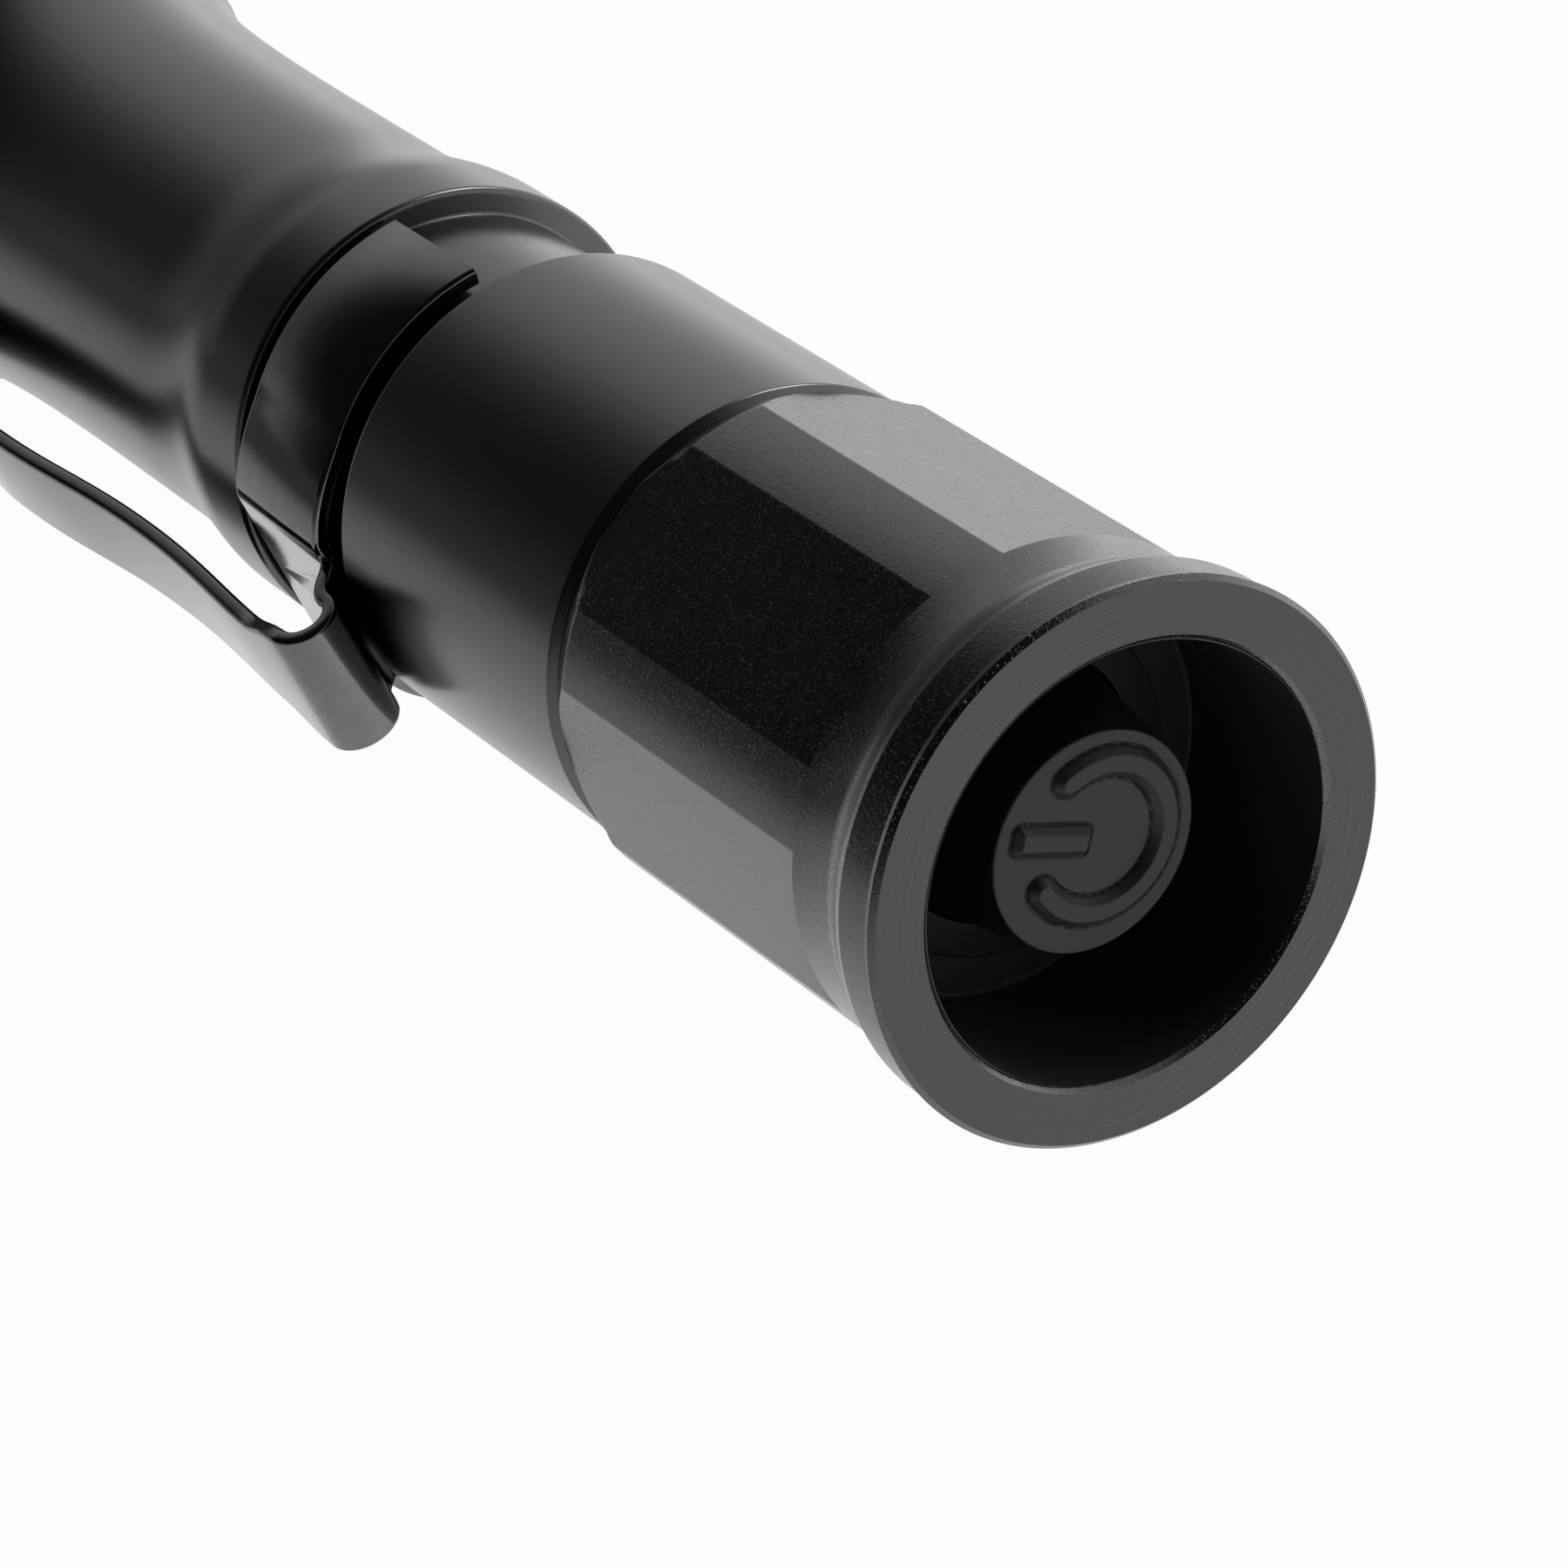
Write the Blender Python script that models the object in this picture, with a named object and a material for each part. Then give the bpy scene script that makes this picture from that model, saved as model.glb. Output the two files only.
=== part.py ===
# Pocket flashlight: black anodised aluminium, tail switch, steel pocket clip, one rechargeable cell.
# Units are metres. The light lies on its side: its axis runs along X, the light shines towards +X.
# Places along the axis are written as distances from the tail rim's face, towards the head.

import math

import bmesh
import bpy
from mathutils import Vector

MM = 0.001

# Clearances
SEAT_GAP = 0.3 * MM          # between pieces that rest against each other
CUT_PAST = 1.0 * MM          # how far a cutter reaches past what it cuts
CUTTER_W = 24.0 * MM         # wider than any flat
CUTTER_T = 6.0 * MM
SMALL_GAP = 0.15 * MM        # between small parts and what carries them
THREAD_GAP = 0.2 * MM        # radial, between a male and a female thread
SEAL_GAP = 0.1 * MM          # radial, between an O-ring and its groove

# Cell
CELL_D = 18.4 * MM
CELL_L = 65.0 * MM
CELL_EDGE = 0.6 * MM
TERMINAL_R = 3.6 * MM
TERMINAL_H = 1.2 * MM
TERMINAL_EDGE = 0.3 * MM
CELL_GAP = 0.2 * MM          # radial, between the cell and the tube's bore

# Walls of the tube, outwards from its bore
THREAD_WALL = 1.4 * MM
TUBE_WALL = 2.6 * MM
WAIST_WALL = 1.66 * MM
GROOVE_WALL = 1.1 * MM
THREAD_EDGE = 0.4 * MM
GROOVE_BACK_EDGE = 0.2 * MM
GROOVE_FRONT_EDGE = 0.3 * MM
SEAL_GROOVE_WALL = 0.55 * MM
SHOULDER_DROP = 0.1 * MM     # the shoulder ahead of the clip is this much under the tube

# Tail cap
CAP_L = 28.5 * MM
CAP_WALL = 0.68 * MM         # at the middle of a flat
FLAT_DEPTH = 0.83 * MM
RIM_STAND = 0.97 * MM
RIM_BAND = 2.75 * MM
RIM_FLARE = 2.15 * MM
RIM_EDGE = 0.27 * MM
FLAT_START = 7.6 * MM
FLAT_COUNT = 6
FLAT_TURN = 46.8             # degrees, the first flat's middle, from the top towards the clip
CAP_TAPER_L = 1.6 * MM       # the lands fall over this length to the cap's front edge
CAP_TAPER = 0.76 * MM
RECESS_R = 10.45 * MM
MOUTH_CHAMFER = 0.32 * MM
RECESS_DEPTH = 10.0 * MM
WEB = 1.2 * MM
SEAM = 0.15 * MM             # between the cap and the tube's shoulder

# Tail button and switch
BUTTON_R = 5.2 * MM
BUTTON_BASE_R = 6.3 * MM
BUTTON_H = 7.23 * MM         # above the recess's floor
BUTTON_EDGE = 0.4 * MM
BUTTON_TRAVEL = 1.6 * MM
BUTTON_WALL = 1.35 * MM
BUTTON_TOP_WALL = 3.7 * MM
FLANGE_R = 8.0 * MM
FLANGE_T = 0.9 * MM
TRIM_RING_R = 8.2 * MM
TRIM_RING_T = 0.75 * MM
TRIM_GAP = 0.2 * MM          # radial, between the boot and the trim ring
SYMBOL_DEPTH = 0.5 * MM
SYMBOL_R = 3.57 * MM
SYMBOL_W = 1.25 * MM
SYMBOL_TURN = 76.0           # degrees, the open side of the symbol
SYMBOL_OPEN = 42.7           # degrees, from that side to each end of the arc
SYMBOL_BAR_IN = 0.4 * MM
SYMBOL_BAR_OUT = 4.6 * MM
SWITCH_SIDE = 6.4 * MM
PLUNGER_R = 1.6 * MM
PLUNGER_SHOW = 2.3 * MM      # above the switch's body, at rest
PLUNGER_SUNK = 0.9 * MM      # inside it, at rest
PLUNGER_EDGE = 0.25 * MM
SWITCH_EDGE = 0.4 * MM
BOARD_T = 1.0 * MM
BOARD_R = 9.0 * MM
POCKET_WALL = 1.6 * MM       # of the cap round the switch pocket, inwards from the thread bore
RING_T = 1.6 * MM
RING_WIDTH = 2.1 * MM
SPANNER_SLOT = 1.6 * MM
SPANNER_DEPTH = 0.85 * MM

# Springs
TAIL_SPRING_L = 7.0 * MM
TAIL_SPRING_R = 5.2 * MM
HEAD_SPRING_L = 4.2 * MM
HEAD_SPRING_R = 4.2 * MM
TAIL_SPRING_TURNS = 5.5
HEAD_SPRING_TURNS = 3.0
COIL_GAP = 0.06 * MM         # between the turns at a closed end
SPRING_WIRE = 0.8 * MM
SPRING_TOP_SHARE = 0.62      # the small end's radius as a share of the large end's

# Tube
TUBE_L = 19.52 * MM          # the plain barrel, from its chamfered shoulder to the clip's groove
SHOULDER_CHAMFER = 0.35 * MM
CLIP_GROOVE_L = 10.4 * MM
SHOULDER_L = 3.6 * MM
WAIST_FALL_L = 8.5 * MM
WAIST_L = 8.0 * MM
HEAD_FLARE_L = 26.0 * MM
SEAL_GROOVE_L = 1.5 * MM
SEAL_SECTION = 0.8 * MM
SEAL_GROOVE_BACK = 2.6 * MM  # from the seal's groove to the cap's front edge

# Head
HEAD_CORNER = 1.12 * MM      # how far the lands stand over the anti-roll flats
HEAD_L = 11.5 * MM
HEAD_CHAMFER = 0.5 * MM
FLAT_RUNOUT = 8.0 * MM       # room for the anti-roll flats to run out on the flare
FIN_COUNT = 3
FIN_GAP = 1.3 * MM
FIN_PITCH = 2.9 * MM
FIN_DEPTH = 1.5 * MM
FIN_START = 2.2 * MM
HEAD_WALL = 2.48 * MM        # from the head's bore to its flats
STUB_WALL = 1.1 * MM
STUB_L = 6.5 * MM
BEZEL_STAND = 0.18 * MM      # the bezel is this much inside the flats
BEZEL_L = 10.3 * MM
BEZEL_LIP = 1.7 * MM
BEZEL_OPENING_R = 9.6 * MM
BEZEL_CHAMFER = 0.6 * MM
BEZEL_GROOVE = 0.5 * MM
DRIVER_T = 1.5 * MM
DRIVER_LEDGE = 1.4 * MM
DRIVER_ROOM = 3.0 * MM
SHELF = 3.0 * MM
WIRE_R = 0.6 * MM
WIRE_HOLE_R = 0.9 * MM
WIRE_OUT = 6.6 * MM
WIRE_SHOW = 0.5 * MM         # past the LED's board
INDUCTOR = (2.2 * MM, 4.4 * MM, 4.4 * MM)
CHIP = (1.0 * MM, 4.0 * MM, 3.2 * MM)
PARTS_OUT = 2.6 * MM         # from the axis to the middle of each, one either side
INDUCTOR_EDGE = 0.3 * MM
STAR_R = 8.4 * MM
STAR_T = 1.5 * MM
SCREW_OUT = 6.6 * MM
SCREW_HEAD_R = 1.25 * MM
SCREW_HEAD_H = 0.55 * MM
SCREW_R = 0.7 * MM
SCREW_L = 2.8 * MM
EMITTER_SIDE = 5.0 * MM
EMITTER_T = 0.8 * MM
EMITTER_DOME_R = 2.2 * MM
GASKET_R = 4.9 * MM
GASKET_T = 1.1 * MM
REFLECTOR_HOLE_R = 3.7 * MM
REFLECTOR_WALL = 0.9 * MM
REFLECTOR_FLANGE = 1.3 * MM
REFLECTOR_FLANGE_T = 1.2 * MM
REFLECTOR_STEPS = 7          # even sized steps in radius along the bowl
LENS_T = 1.9 * MM
LENS_EDGE = 0.2 * MM
LENS_SEAL_BACK = 0.3 * MM    # the seal's bore is this much wider than the bezel's opening
FRONT_SEAL = 1.0 * MM

# Pocket clip
CLIP_TURN = 116.6            # degrees from the top, towards +Y
CLIP_T = 0.9 * MM
CLIP_RING_T = 0.9 * MM
CLIP_ROOT = 3.0 * MM         # how far the strip laps onto the ring
CLIP_TIP_EASE = 0.6 * MM     # how the tip's curve is pulled in before it lifts
CLIP_TIP_NARROW = 1.2        # how fast the tip narrows
CLIP_RING_L = 7.9 * MM
CLIP_BACK_GAP = 1.8 * MM     # from the tube's end to the clip ring
CLIP_FLAT = 4.6 * MM         # half the width of the ring's flat seat
CLIP_RING_GAP = 0.5 * MM     # radial, between the ring and the groove's floor
CLIP_FLAT_GAP = 0.15 * MM    # between the flat seat and the groove's floor
CLIP_EASE = 26.0             # degrees over which the ring eases from the crease to its round
CLIP_MOUTH = 79.0            # degrees, half the ring's open side
CLIP_BEND_R = 1.92 * MM      # outside of the hairpin bend
CLIP_BEND_BACK = 2.15 * MM   # from the ring's back edge to the bend's centre
CLIP_BEND_OUT = 2.3 * MM     # from the tube's surface to the bend's centre
CLIP_ARM_W = 5.6 * MM
CLIP_BEND_W = 7.5 * MM
CLIP_TAPER_L = 4.0 * MM
CLIP_TIP_R = 2.0 * MM
CLIP_SAG_AT = 15.5 * MM      # along the arm, from the bend's centre
CLIP_SAG = 0.73 * MM
CLIP_RISE_AT = 32.0 * MM
CLIP_TOUCH_AT = 49.5 * MM
CLIP_TOUCH_GAP = 0.35 * MM
CLIP_TIP_AT = 54.0 * MM
CLIP_TIP_LIFT = 1.4 * MM

# Roundness: sides of the turned pieces
SIDES = 40
SMALL_SIDES = 32
SEAL_SIDES = 6

# Radii that follow
BORE_R = CELL_D / 2 + CELL_GAP
THREAD_R = BORE_R + THREAD_WALL
TUBE_R = BORE_R + TUBE_WALL
WAIST_R = BORE_R + WAIST_WALL
GROOVE_R = BORE_R + GROOVE_WALL
SHOULDER_R = TUBE_R - SHOULDER_DROP
SEAL_FLOOR_R = BORE_R + SEAL_GROOVE_WALL
CAP_BORE_R = THREAD_R + THREAD_GAP
CAP_FLAT_R = CAP_BORE_R + CAP_WALL
LAND_R = CAP_FLAT_R + FLAT_DEPTH
RIM_R = LAND_R + RIM_STAND
POCKET_R = CAP_BORE_R - POCKET_WALL
HEAD_FLAT_R = RIM_R
HEAD_R = HEAD_FLAT_R + HEAD_CORNER
HEAD_BORE_R = HEAD_FLAT_R - HEAD_WALL
STUB_R = HEAD_BORE_R + STUB_WALL
BEZEL_R = HEAD_FLAT_R - BEZEL_STAND

# Places along the axis that follow, from the tail rim's face
FLOOR_AT = RECESS_DEPTH
WEB_AT = FLOOR_AT + WEB
BUTTON_AT = FLOOR_AT - BUTTON_H
FLANGE_AT = WEB_AT + SEAT_GAP
FLANGE_END = FLANGE_AT + FLANGE_T
SWITCH_BOARD_AT = FLANGE_END + BUTTON_TRAVEL + SEAT_GAP
RING_AT = SWITCH_BOARD_AT + BOARD_T + SEAT_GAP
CAP_STEP_AT = RING_AT + RING_T + SEAT_GAP
TUBE_TAIL = CAP_STEP_AT + SEAT_GAP
TUBE_AT = CAP_L + SEAM
GROOVE_AT = TUBE_AT + TUBE_L
GROOVE_END = GROOVE_AT + CLIP_GROOVE_L
SHOULDER_END = GROOVE_END + SHOULDER_L
WAIST_AT = SHOULDER_END + WAIST_FALL_L
WAIST_END = WAIST_AT + WAIST_L
HEAD_AT = WAIST_END + HEAD_FLARE_L
HEAD_END = HEAD_AT + HEAD_L
STUB_END = HEAD_END + STUB_L
BEZEL_AT = HEAD_END + SEAT_GAP
LIGHT_L = BEZEL_AT + BEZEL_L
CELL_AT = SWITCH_BOARD_AT + BOARD_T + TAIL_SPRING_L + 2 * SMALL_GAP
CELL_END = CELL_AT + CELL_L
HEAD_SPRING_AT = CELL_END + TERMINAL_H + SMALL_GAP
DRIVER_AT = HEAD_SPRING_AT + HEAD_SPRING_L + SMALL_GAP
DRIVER_END = DRIVER_AT + DRIVER_T
LEDGE_AT = DRIVER_END + SMALL_GAP
SHELF_AT = LEDGE_AT + DRIVER_ROOM
SHELF_END = SHELF_AT + SHELF
STAR_AT = SHELF_END + SMALL_GAP
STAR_END = STAR_AT + STAR_T
GASKET_AT = STAR_END + SMALL_GAP
REFLECTOR_AT = GASKET_AT + GASKET_T + SMALL_GAP
LENS_END = BEZEL_AT + BEZEL_L - BEZEL_LIP - FRONT_SEAL - 2 * SMALL_GAP
LENS_AT = LENS_END - LENS_T
REFLECTOR_END = LENS_AT - SMALL_GAP
CLIP_RING_AT = GROOVE_AT + CLIP_BACK_GAP
CLIP_BEND_AT = CLIP_RING_AT - CLIP_BEND_BACK

# The axis's place: the tail rim and the head's lower flat touch the ground
CLIP_OUT_R = TUBE_R + CLIP_BEND_OUT + CLIP_BEND_R
CLIP_REACH = (CLIP_OUT_R * math.sin(math.radians(CLIP_TURN))
              + CLIP_BEND_W / 2 * abs(math.cos(math.radians(CLIP_TURN))))
AXIS_Y = (HEAD_R - CLIP_REACH) / 2
AXIS_Z = RIM_R
TAIL_X = -LIGHT_L / 2


def clear_scene():
    for obj in list(bpy.data.objects):
        bpy.data.objects.remove(obj, do_unlink=True)


def material(name, color, roughness, metallic):
    made = bpy.data.materials.new(name)
    made.use_nodes = True
    shader = made.node_tree.nodes["Principled BSDF"]
    shader.inputs["Base Color"].default_value = (*color, 1.0)
    shader.inputs["Roughness"].default_value = roughness
    shader.inputs["Metallic"].default_value = metallic
    return made


# Curves for profiles, as (place along the axis, radius)

def bezier(start, pull_a, pull_b, end, steps):
    points = []
    for i in range(steps + 1):
        t = i / steps
        a, b, c, d = (1 - t) ** 3, 3 * t * (1 - t) ** 2, 3 * t * t * (1 - t), t ** 3
        points.append(tuple(a * p + b * q + c * r + d * s
                            for p, q, r, s in zip(start, pull_a, pull_b, end)))
    return points


def arc(center, radius, start, end, steps):
    points = []
    for i in range(steps + 1):
        angle = math.radians(start + (end - start) * i / steps)
        points.append((center[0] + radius * math.cos(angle), center[1] + radius * math.sin(angle)))
    return points


def around(radius, turn):
    """Y and Z of a point at this radius; turn is in degrees from the top towards +Y."""
    angle = math.radians(turn)
    return radius * math.sin(angle), radius * math.cos(angle)


# Solids

def add_object(name, mesh_builder, place, look, parent):
    mesh = bpy.data.meshes.new(name)
    bmesh.ops.recalc_face_normals(mesh_builder, faces=mesh_builder.faces)
    mesh_builder.to_mesh(mesh)
    mesh_builder.free()
    mesh.shade_smooth()
    mesh.set_sharp_from_angle(angle=math.radians(30))
    mesh.materials.append(look)
    obj = bpy.data.objects.new(name, mesh)
    bpy.context.scene.collection.objects.link(obj)
    obj.parent = parent
    obj.location = (place, 0.0, 0.0)
    return obj


def turned(name, profile, look, parent, place=0.0, sides=SIDES, out=None):
    """A solid of revolution round X from a closed profile of (x, radius) points.

    place is where the piece's own origin lies on the axis; out moves a small piece off the axis.
    """
    shape = bmesh.new()
    ring = [shape.verts.new((x - place, 0.0, radius)) for x, radius in profile]
    edges = []
    for i, vert in enumerate(ring):
        following = ring[(i + 1) % len(ring)]
        on_axis = abs(vert.co.z) < 1e-9 and abs(following.co.z) < 1e-9
        if not on_axis:
            edges.append(shape.edges.new((vert, following)))
    bmesh.ops.spin(shape, geom=ring + edges, cent=(0, 0, 0), axis=(1, 0, 0),
                   angle=2 * math.pi, steps=sides, use_duplicate=False)
    bmesh.ops.remove_doubles(shape, verts=shape.verts, dist=1e-7)
    obj = add_object(name, shape, place, look, parent)
    if out is not None:
        obj.location = (place, *out)
    return obj


def extruded(name, outline, depth, look, parent, place=0.0):
    """A prism along X from a closed outline of (y, z) points."""
    shape = bmesh.new()
    face = shape.faces.new([shape.verts.new((0.0, y, z)) for y, z in outline])
    pushed = bmesh.ops.extrude_face_region(shape, geom=[face])
    verts = [item for item in pushed["geom"] if isinstance(item, bmesh.types.BMVert)]
    bmesh.ops.translate(shape, verts=verts, vec=(depth, 0, 0))
    return add_object(name, shape, place, look, parent)


def boxed(name, size, center, look, parent, place=0.0, bevel=0.0):
    """A box of size (x, y, z), with its middle at center (x, y, z) from its own place."""
    shape = bmesh.new()
    bmesh.ops.create_cube(shape, size=1.0)
    bmesh.ops.scale(shape, vec=size, verts=shape.verts)
    bmesh.ops.translate(shape, vec=center, verts=shape.verts)
    if bevel > 0:
        bmesh.ops.bevel(shape, geom=shape.edges[:], offset=bevel, segments=1, affect="EDGES")
    return add_object(name, shape, place, look, parent)


def combine(target, tool, operation):
    """Cut, or join, target with tool and leave the tool out of the model."""
    change = target.modifiers.new(operation.lower(), "BOOLEAN")
    change.operation = operation
    change.solver = "EXACT"
    change.object = tool
    tool.hide_render = True
    tool.display_type = "WIRE"
    tool.name = "tool_" + tool.name


def coil(name, length, base_r, wire, turns, look, parent, place, small_end_first):
    """A conical compression spring with a closed turn at each end."""
    steps_per_turn = 12
    count = int(turns * steps_per_turn)
    height = length - wire
    closed_rise = wire + COIL_GAP
    pitch = (height - 2 * closed_rise) / (turns - 2)
    points = []
    for i in range(count + 1):
        turn = i / steps_per_turn
        up = turn * closed_rise
        if turn > 1:
            up = closed_rise + (turn - 1) * pitch
        if turn > turns - 1:
            up = height - (turns - turn) * closed_rise
        share = 1 - up / height if small_end_first else up / height
        radius = base_r * (1 - (1 - SPRING_TOP_SHARE) * share) - wire / 2
        y, z = around(radius, 360 * turn)
        points.append((wire / 2 + up, y, z))
    line = bpy.data.curves.new(name, "CURVE")
    line.dimensions = "3D"
    path = line.splines.new("POLY")
    path.points.add(len(points) - 1)
    for point, spot in zip(path.points, points):
        point.co = (*spot, 1.0)
    line.bevel_depth = wire / 2
    line.bevel_resolution = 1
    line.use_fill_caps = True
    line.materials.append(look)
    obj = bpy.data.objects.new(name, line)
    bpy.context.scene.collection.objects.link(obj)
    obj.parent = parent
    obj.location = (place, 0.0, 0.0)
    return obj


def seal_ring(name, place, inner_r, section, look, parent):
    """An O-ring; place is its tail side."""
    middle = (place + section / 2, inner_r + section / 2)
    profile = arc(middle, section / 2, 90, 90 - 360, SEAL_SIDES)[:-1]
    return turned(name, profile, look, parent, place, SMALL_SIDES)


def washer(name, start, end, inner_r, outer_r, look, parent, sides=SMALL_SIDES):
    profile = [(start, outer_r), (end, outer_r), (end, inner_r), (start, inner_r)]
    return turned(name, profile, look, parent, start, sides)


def disc(name, start, end, radius, look, parent, sides=SMALL_SIDES, edge=0.0):
    profile = [(start, 0.0), (start, radius - edge), (start + edge, radius),
               (end - edge, radius), (end, radius - edge), (end, 0.0)]
    if edge == 0.0:
        profile = [(start, 0.0), (start, radius), (end, radius), (end, 0.0)]
    return turned(name, profile, look, parent, start, sides)


def cut_flats(target, start, end, distance, turn, parent):
    """Mill flats at this distance from the axis; each cutter is a box outside its flat."""
    for i in range(FLAT_COUNT):
        cutter = boxed(target.name + "_flat", (end - start, CUTTER_W, CUTTER_T),
                       ((end - start) / 2, 0.0, distance + CUTTER_T / 2), BLACK, parent, start)
        cutter.rotation_euler = (-math.radians(turn + 360 / FLAT_COUNT * i), 0.0, 0.0)
        combine(target, cutter, "DIFFERENCE")


def cut_spanner_slots(target, start, end, radius, parent):
    slot = boxed(target.name + "_slot", (end - start, 4 * radius, SPANNER_SLOT),
                 ((end - start) / 2, 0.0, 0.0), BRASS, parent, start)
    combine(target, slot, "DIFFERENCE")


# Tail cap and switch

def make_tail_cap(parent):
    face_r = RIM_R - RIM_EDGE
    outside = [(0.0, RECESS_R + MOUTH_CHAMFER), (0.0, face_r),
               (RIM_EDGE * 0.3, RIM_R - RIM_EDGE * 0.3), (RIM_EDGE, RIM_R), (RIM_BAND, RIM_R)]
    flare = bezier((RIM_BAND, RIM_R), (RIM_BAND + RIM_FLARE * 0.3, RIM_R - RIM_STAND * 0.45),
                   (RIM_BAND + RIM_FLARE * 0.6, LAND_R + RIM_STAND * 0.06),
                   (RIM_BAND + RIM_FLARE, LAND_R), 4)
    outside += flare[1:]
    outside += [(CAP_L - CAP_TAPER_L, LAND_R), (CAP_L, LAND_R - CAP_TAPER)]
    inside = [(CAP_L, CAP_BORE_R), (CAP_STEP_AT, CAP_BORE_R), (CAP_STEP_AT, POCKET_R),
              (WEB_AT, POCKET_R), (WEB_AT, BUTTON_BASE_R + TRIM_GAP),
              (FLOOR_AT, BUTTON_BASE_R + TRIM_GAP), (FLOOR_AT, RECESS_R),
              (MOUTH_CHAMFER, RECESS_R)]
    cap = turned("tail_cap", outside + inside, BLACK, parent)
    cut_flats(cap, FLAT_START, CAP_L + CUT_PAST, CAP_FLAT_R, FLAT_TURN, parent)
    washer("button_trim_ring", FLOOR_AT - SEAT_GAP / 2 - TRIM_RING_T, FLOOR_AT - SEAT_GAP / 2,
           BUTTON_BASE_R + TRIM_GAP, TRIM_RING_R, DARK_STEEL, parent)


def symbol_arc():
    """Outline of the power symbol's arc, as (y, z) points with round ends."""
    inner, outer = SYMBOL_R - SYMBOL_W / 2, SYMBOL_R + SYMBOL_W / 2
    start = SYMBOL_TURN + SYMBOL_OPEN
    end = SYMBOL_TURN + 360 - SYMBOL_OPEN
    steps = 14
    outline = []
    for i in range(steps + 1):
        outline.append(around(outer, start + (end - start) * i / steps))
    end_y, end_z = around(SYMBOL_R, end)
    for i in range(1, 4):
        y, z = around(SYMBOL_W / 2, end + 45 * i)
        outline.append((end_y + y, end_z + z))
    for i in range(steps + 1):
        outline.append(around(inner, end + (start - end) * i / steps))
    start_y, start_z = around(SYMBOL_R, start)
    for i in range(1, 4):
        y, z = around(SYMBOL_W / 2, start + 180 + 45 * i)
        outline.append((start_y + y, start_z + z))
    return outline


def symbol_bar():
    """Outline of the power symbol's bar, which points to the open side."""
    outline = []
    half = SYMBOL_W / 2
    for middle, turn in ((SYMBOL_BAR_OUT - half, 90.0), (SYMBOL_BAR_IN + half, 270.0)):
        center_y, center_z = around(middle, SYMBOL_TURN)
        for i in range(5):
            y, z = around(half, SYMBOL_TURN + turn - 45 * i)
            outline.append((center_y + y, center_z + z))
    return outline


def make_button(parent):
    inner_r = BUTTON_BASE_R - BUTTON_WALL
    neck_at = FLOOR_AT - SEAT_GAP / 2 - TRIM_RING_T
    top = arc((BUTTON_AT + BUTTON_EDGE, BUTTON_R - BUTTON_EDGE), BUTTON_EDGE, 180, 90, 3)
    profile = [(BUTTON_AT, 0.0)] + top
    profile += [(neck_at, BUTTON_BASE_R), (FLANGE_AT, BUTTON_BASE_R), (FLANGE_AT, FLANGE_R),
                (FLANGE_END, FLANGE_R), (FLANGE_END, inner_r),
                (BUTTON_AT + BUTTON_TOP_WALL, inner_r), (BUTTON_AT + BUTTON_TOP_WALL, 0.0)]
    button = turned("tail_button", profile, RUBBER, parent, BUTTON_AT, SMALL_SIDES)
    for name, outline in (("symbol_arc", symbol_arc()), ("symbol_bar", symbol_bar())):
        cutter = extruded(name, outline, CUT_PAST + SYMBOL_DEPTH, RUBBER, parent,
                          BUTTON_AT - CUT_PAST)
        combine(button, cutter, "DIFFERENCE")


def make_switch(parent):
    plunger_at = BUTTON_AT + BUTTON_TOP_WALL + SMALL_GAP
    body_at = plunger_at + PLUNGER_SHOW
    body_l = SWITCH_BOARD_AT - SMALL_GAP - body_at
    disc("switch_plunger", plunger_at, body_at + PLUNGER_SUNK, PLUNGER_R, WHITE_PLASTIC, parent,
         16, PLUNGER_EDGE)
    body = boxed("switch_body", (body_l, SWITCH_SIDE, SWITCH_SIDE), (body_l / 2, 0, 0),
                 BLACK_PLASTIC, parent, body_at, SWITCH_EDGE)
    well = disc("plunger_well", body_at - CUT_PAST,
                body_at + PLUNGER_SUNK + BUTTON_TRAVEL + SEAT_GAP, PLUNGER_R + SMALL_GAP,
                BLACK_PLASTIC, parent, 16)
    combine(body, well, "DIFFERENCE")
    disc("switch_board", SWITCH_BOARD_AT, SWITCH_BOARD_AT + BOARD_T, BOARD_R, GREEN_BOARD, parent)
    ring = washer("switch_retaining_ring", RING_AT, RING_AT + RING_T,
                  POCKET_R - THREAD_GAP - RING_WIDTH, POCKET_R - THREAD_GAP, BRASS, parent)
    cut_spanner_slots(ring, RING_AT + RING_T - SPANNER_DEPTH, RING_AT + RING_T + CUT_PAST,
                      POCKET_R, parent)
    coil("tail_spring", TAIL_SPRING_L, TAIL_SPRING_R, SPRING_WIRE, TAIL_SPRING_TURNS, GOLD,
         parent, SWITCH_BOARD_AT + BOARD_T + SMALL_GAP, False)


# Tube, seals and cell

def head_flare(steps):
    """The body's outline from the waist's end to the head."""
    return bezier((WAIST_END, WAIST_R), (WAIST_END + HEAD_FLARE_L * 0.7, WAIST_R),
                  (WAIST_END + HEAD_FLARE_L * 0.79, WAIST_R + (HEAD_R - WAIST_R) * 0.24),
                  (HEAD_AT, HEAD_R - HEAD_CHAMFER), steps)


def flare_radius(place):
    """The body's radius at a place on the head's flare."""
    points = head_flare(40)
    for (a, low), (b, high) in zip(points, points[1:]):
        if a <= place <= b:
            return low + (high - low) * (place - a) / (b - a)
    return WAIST_R if place < WAIST_END else HEAD_R


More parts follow.
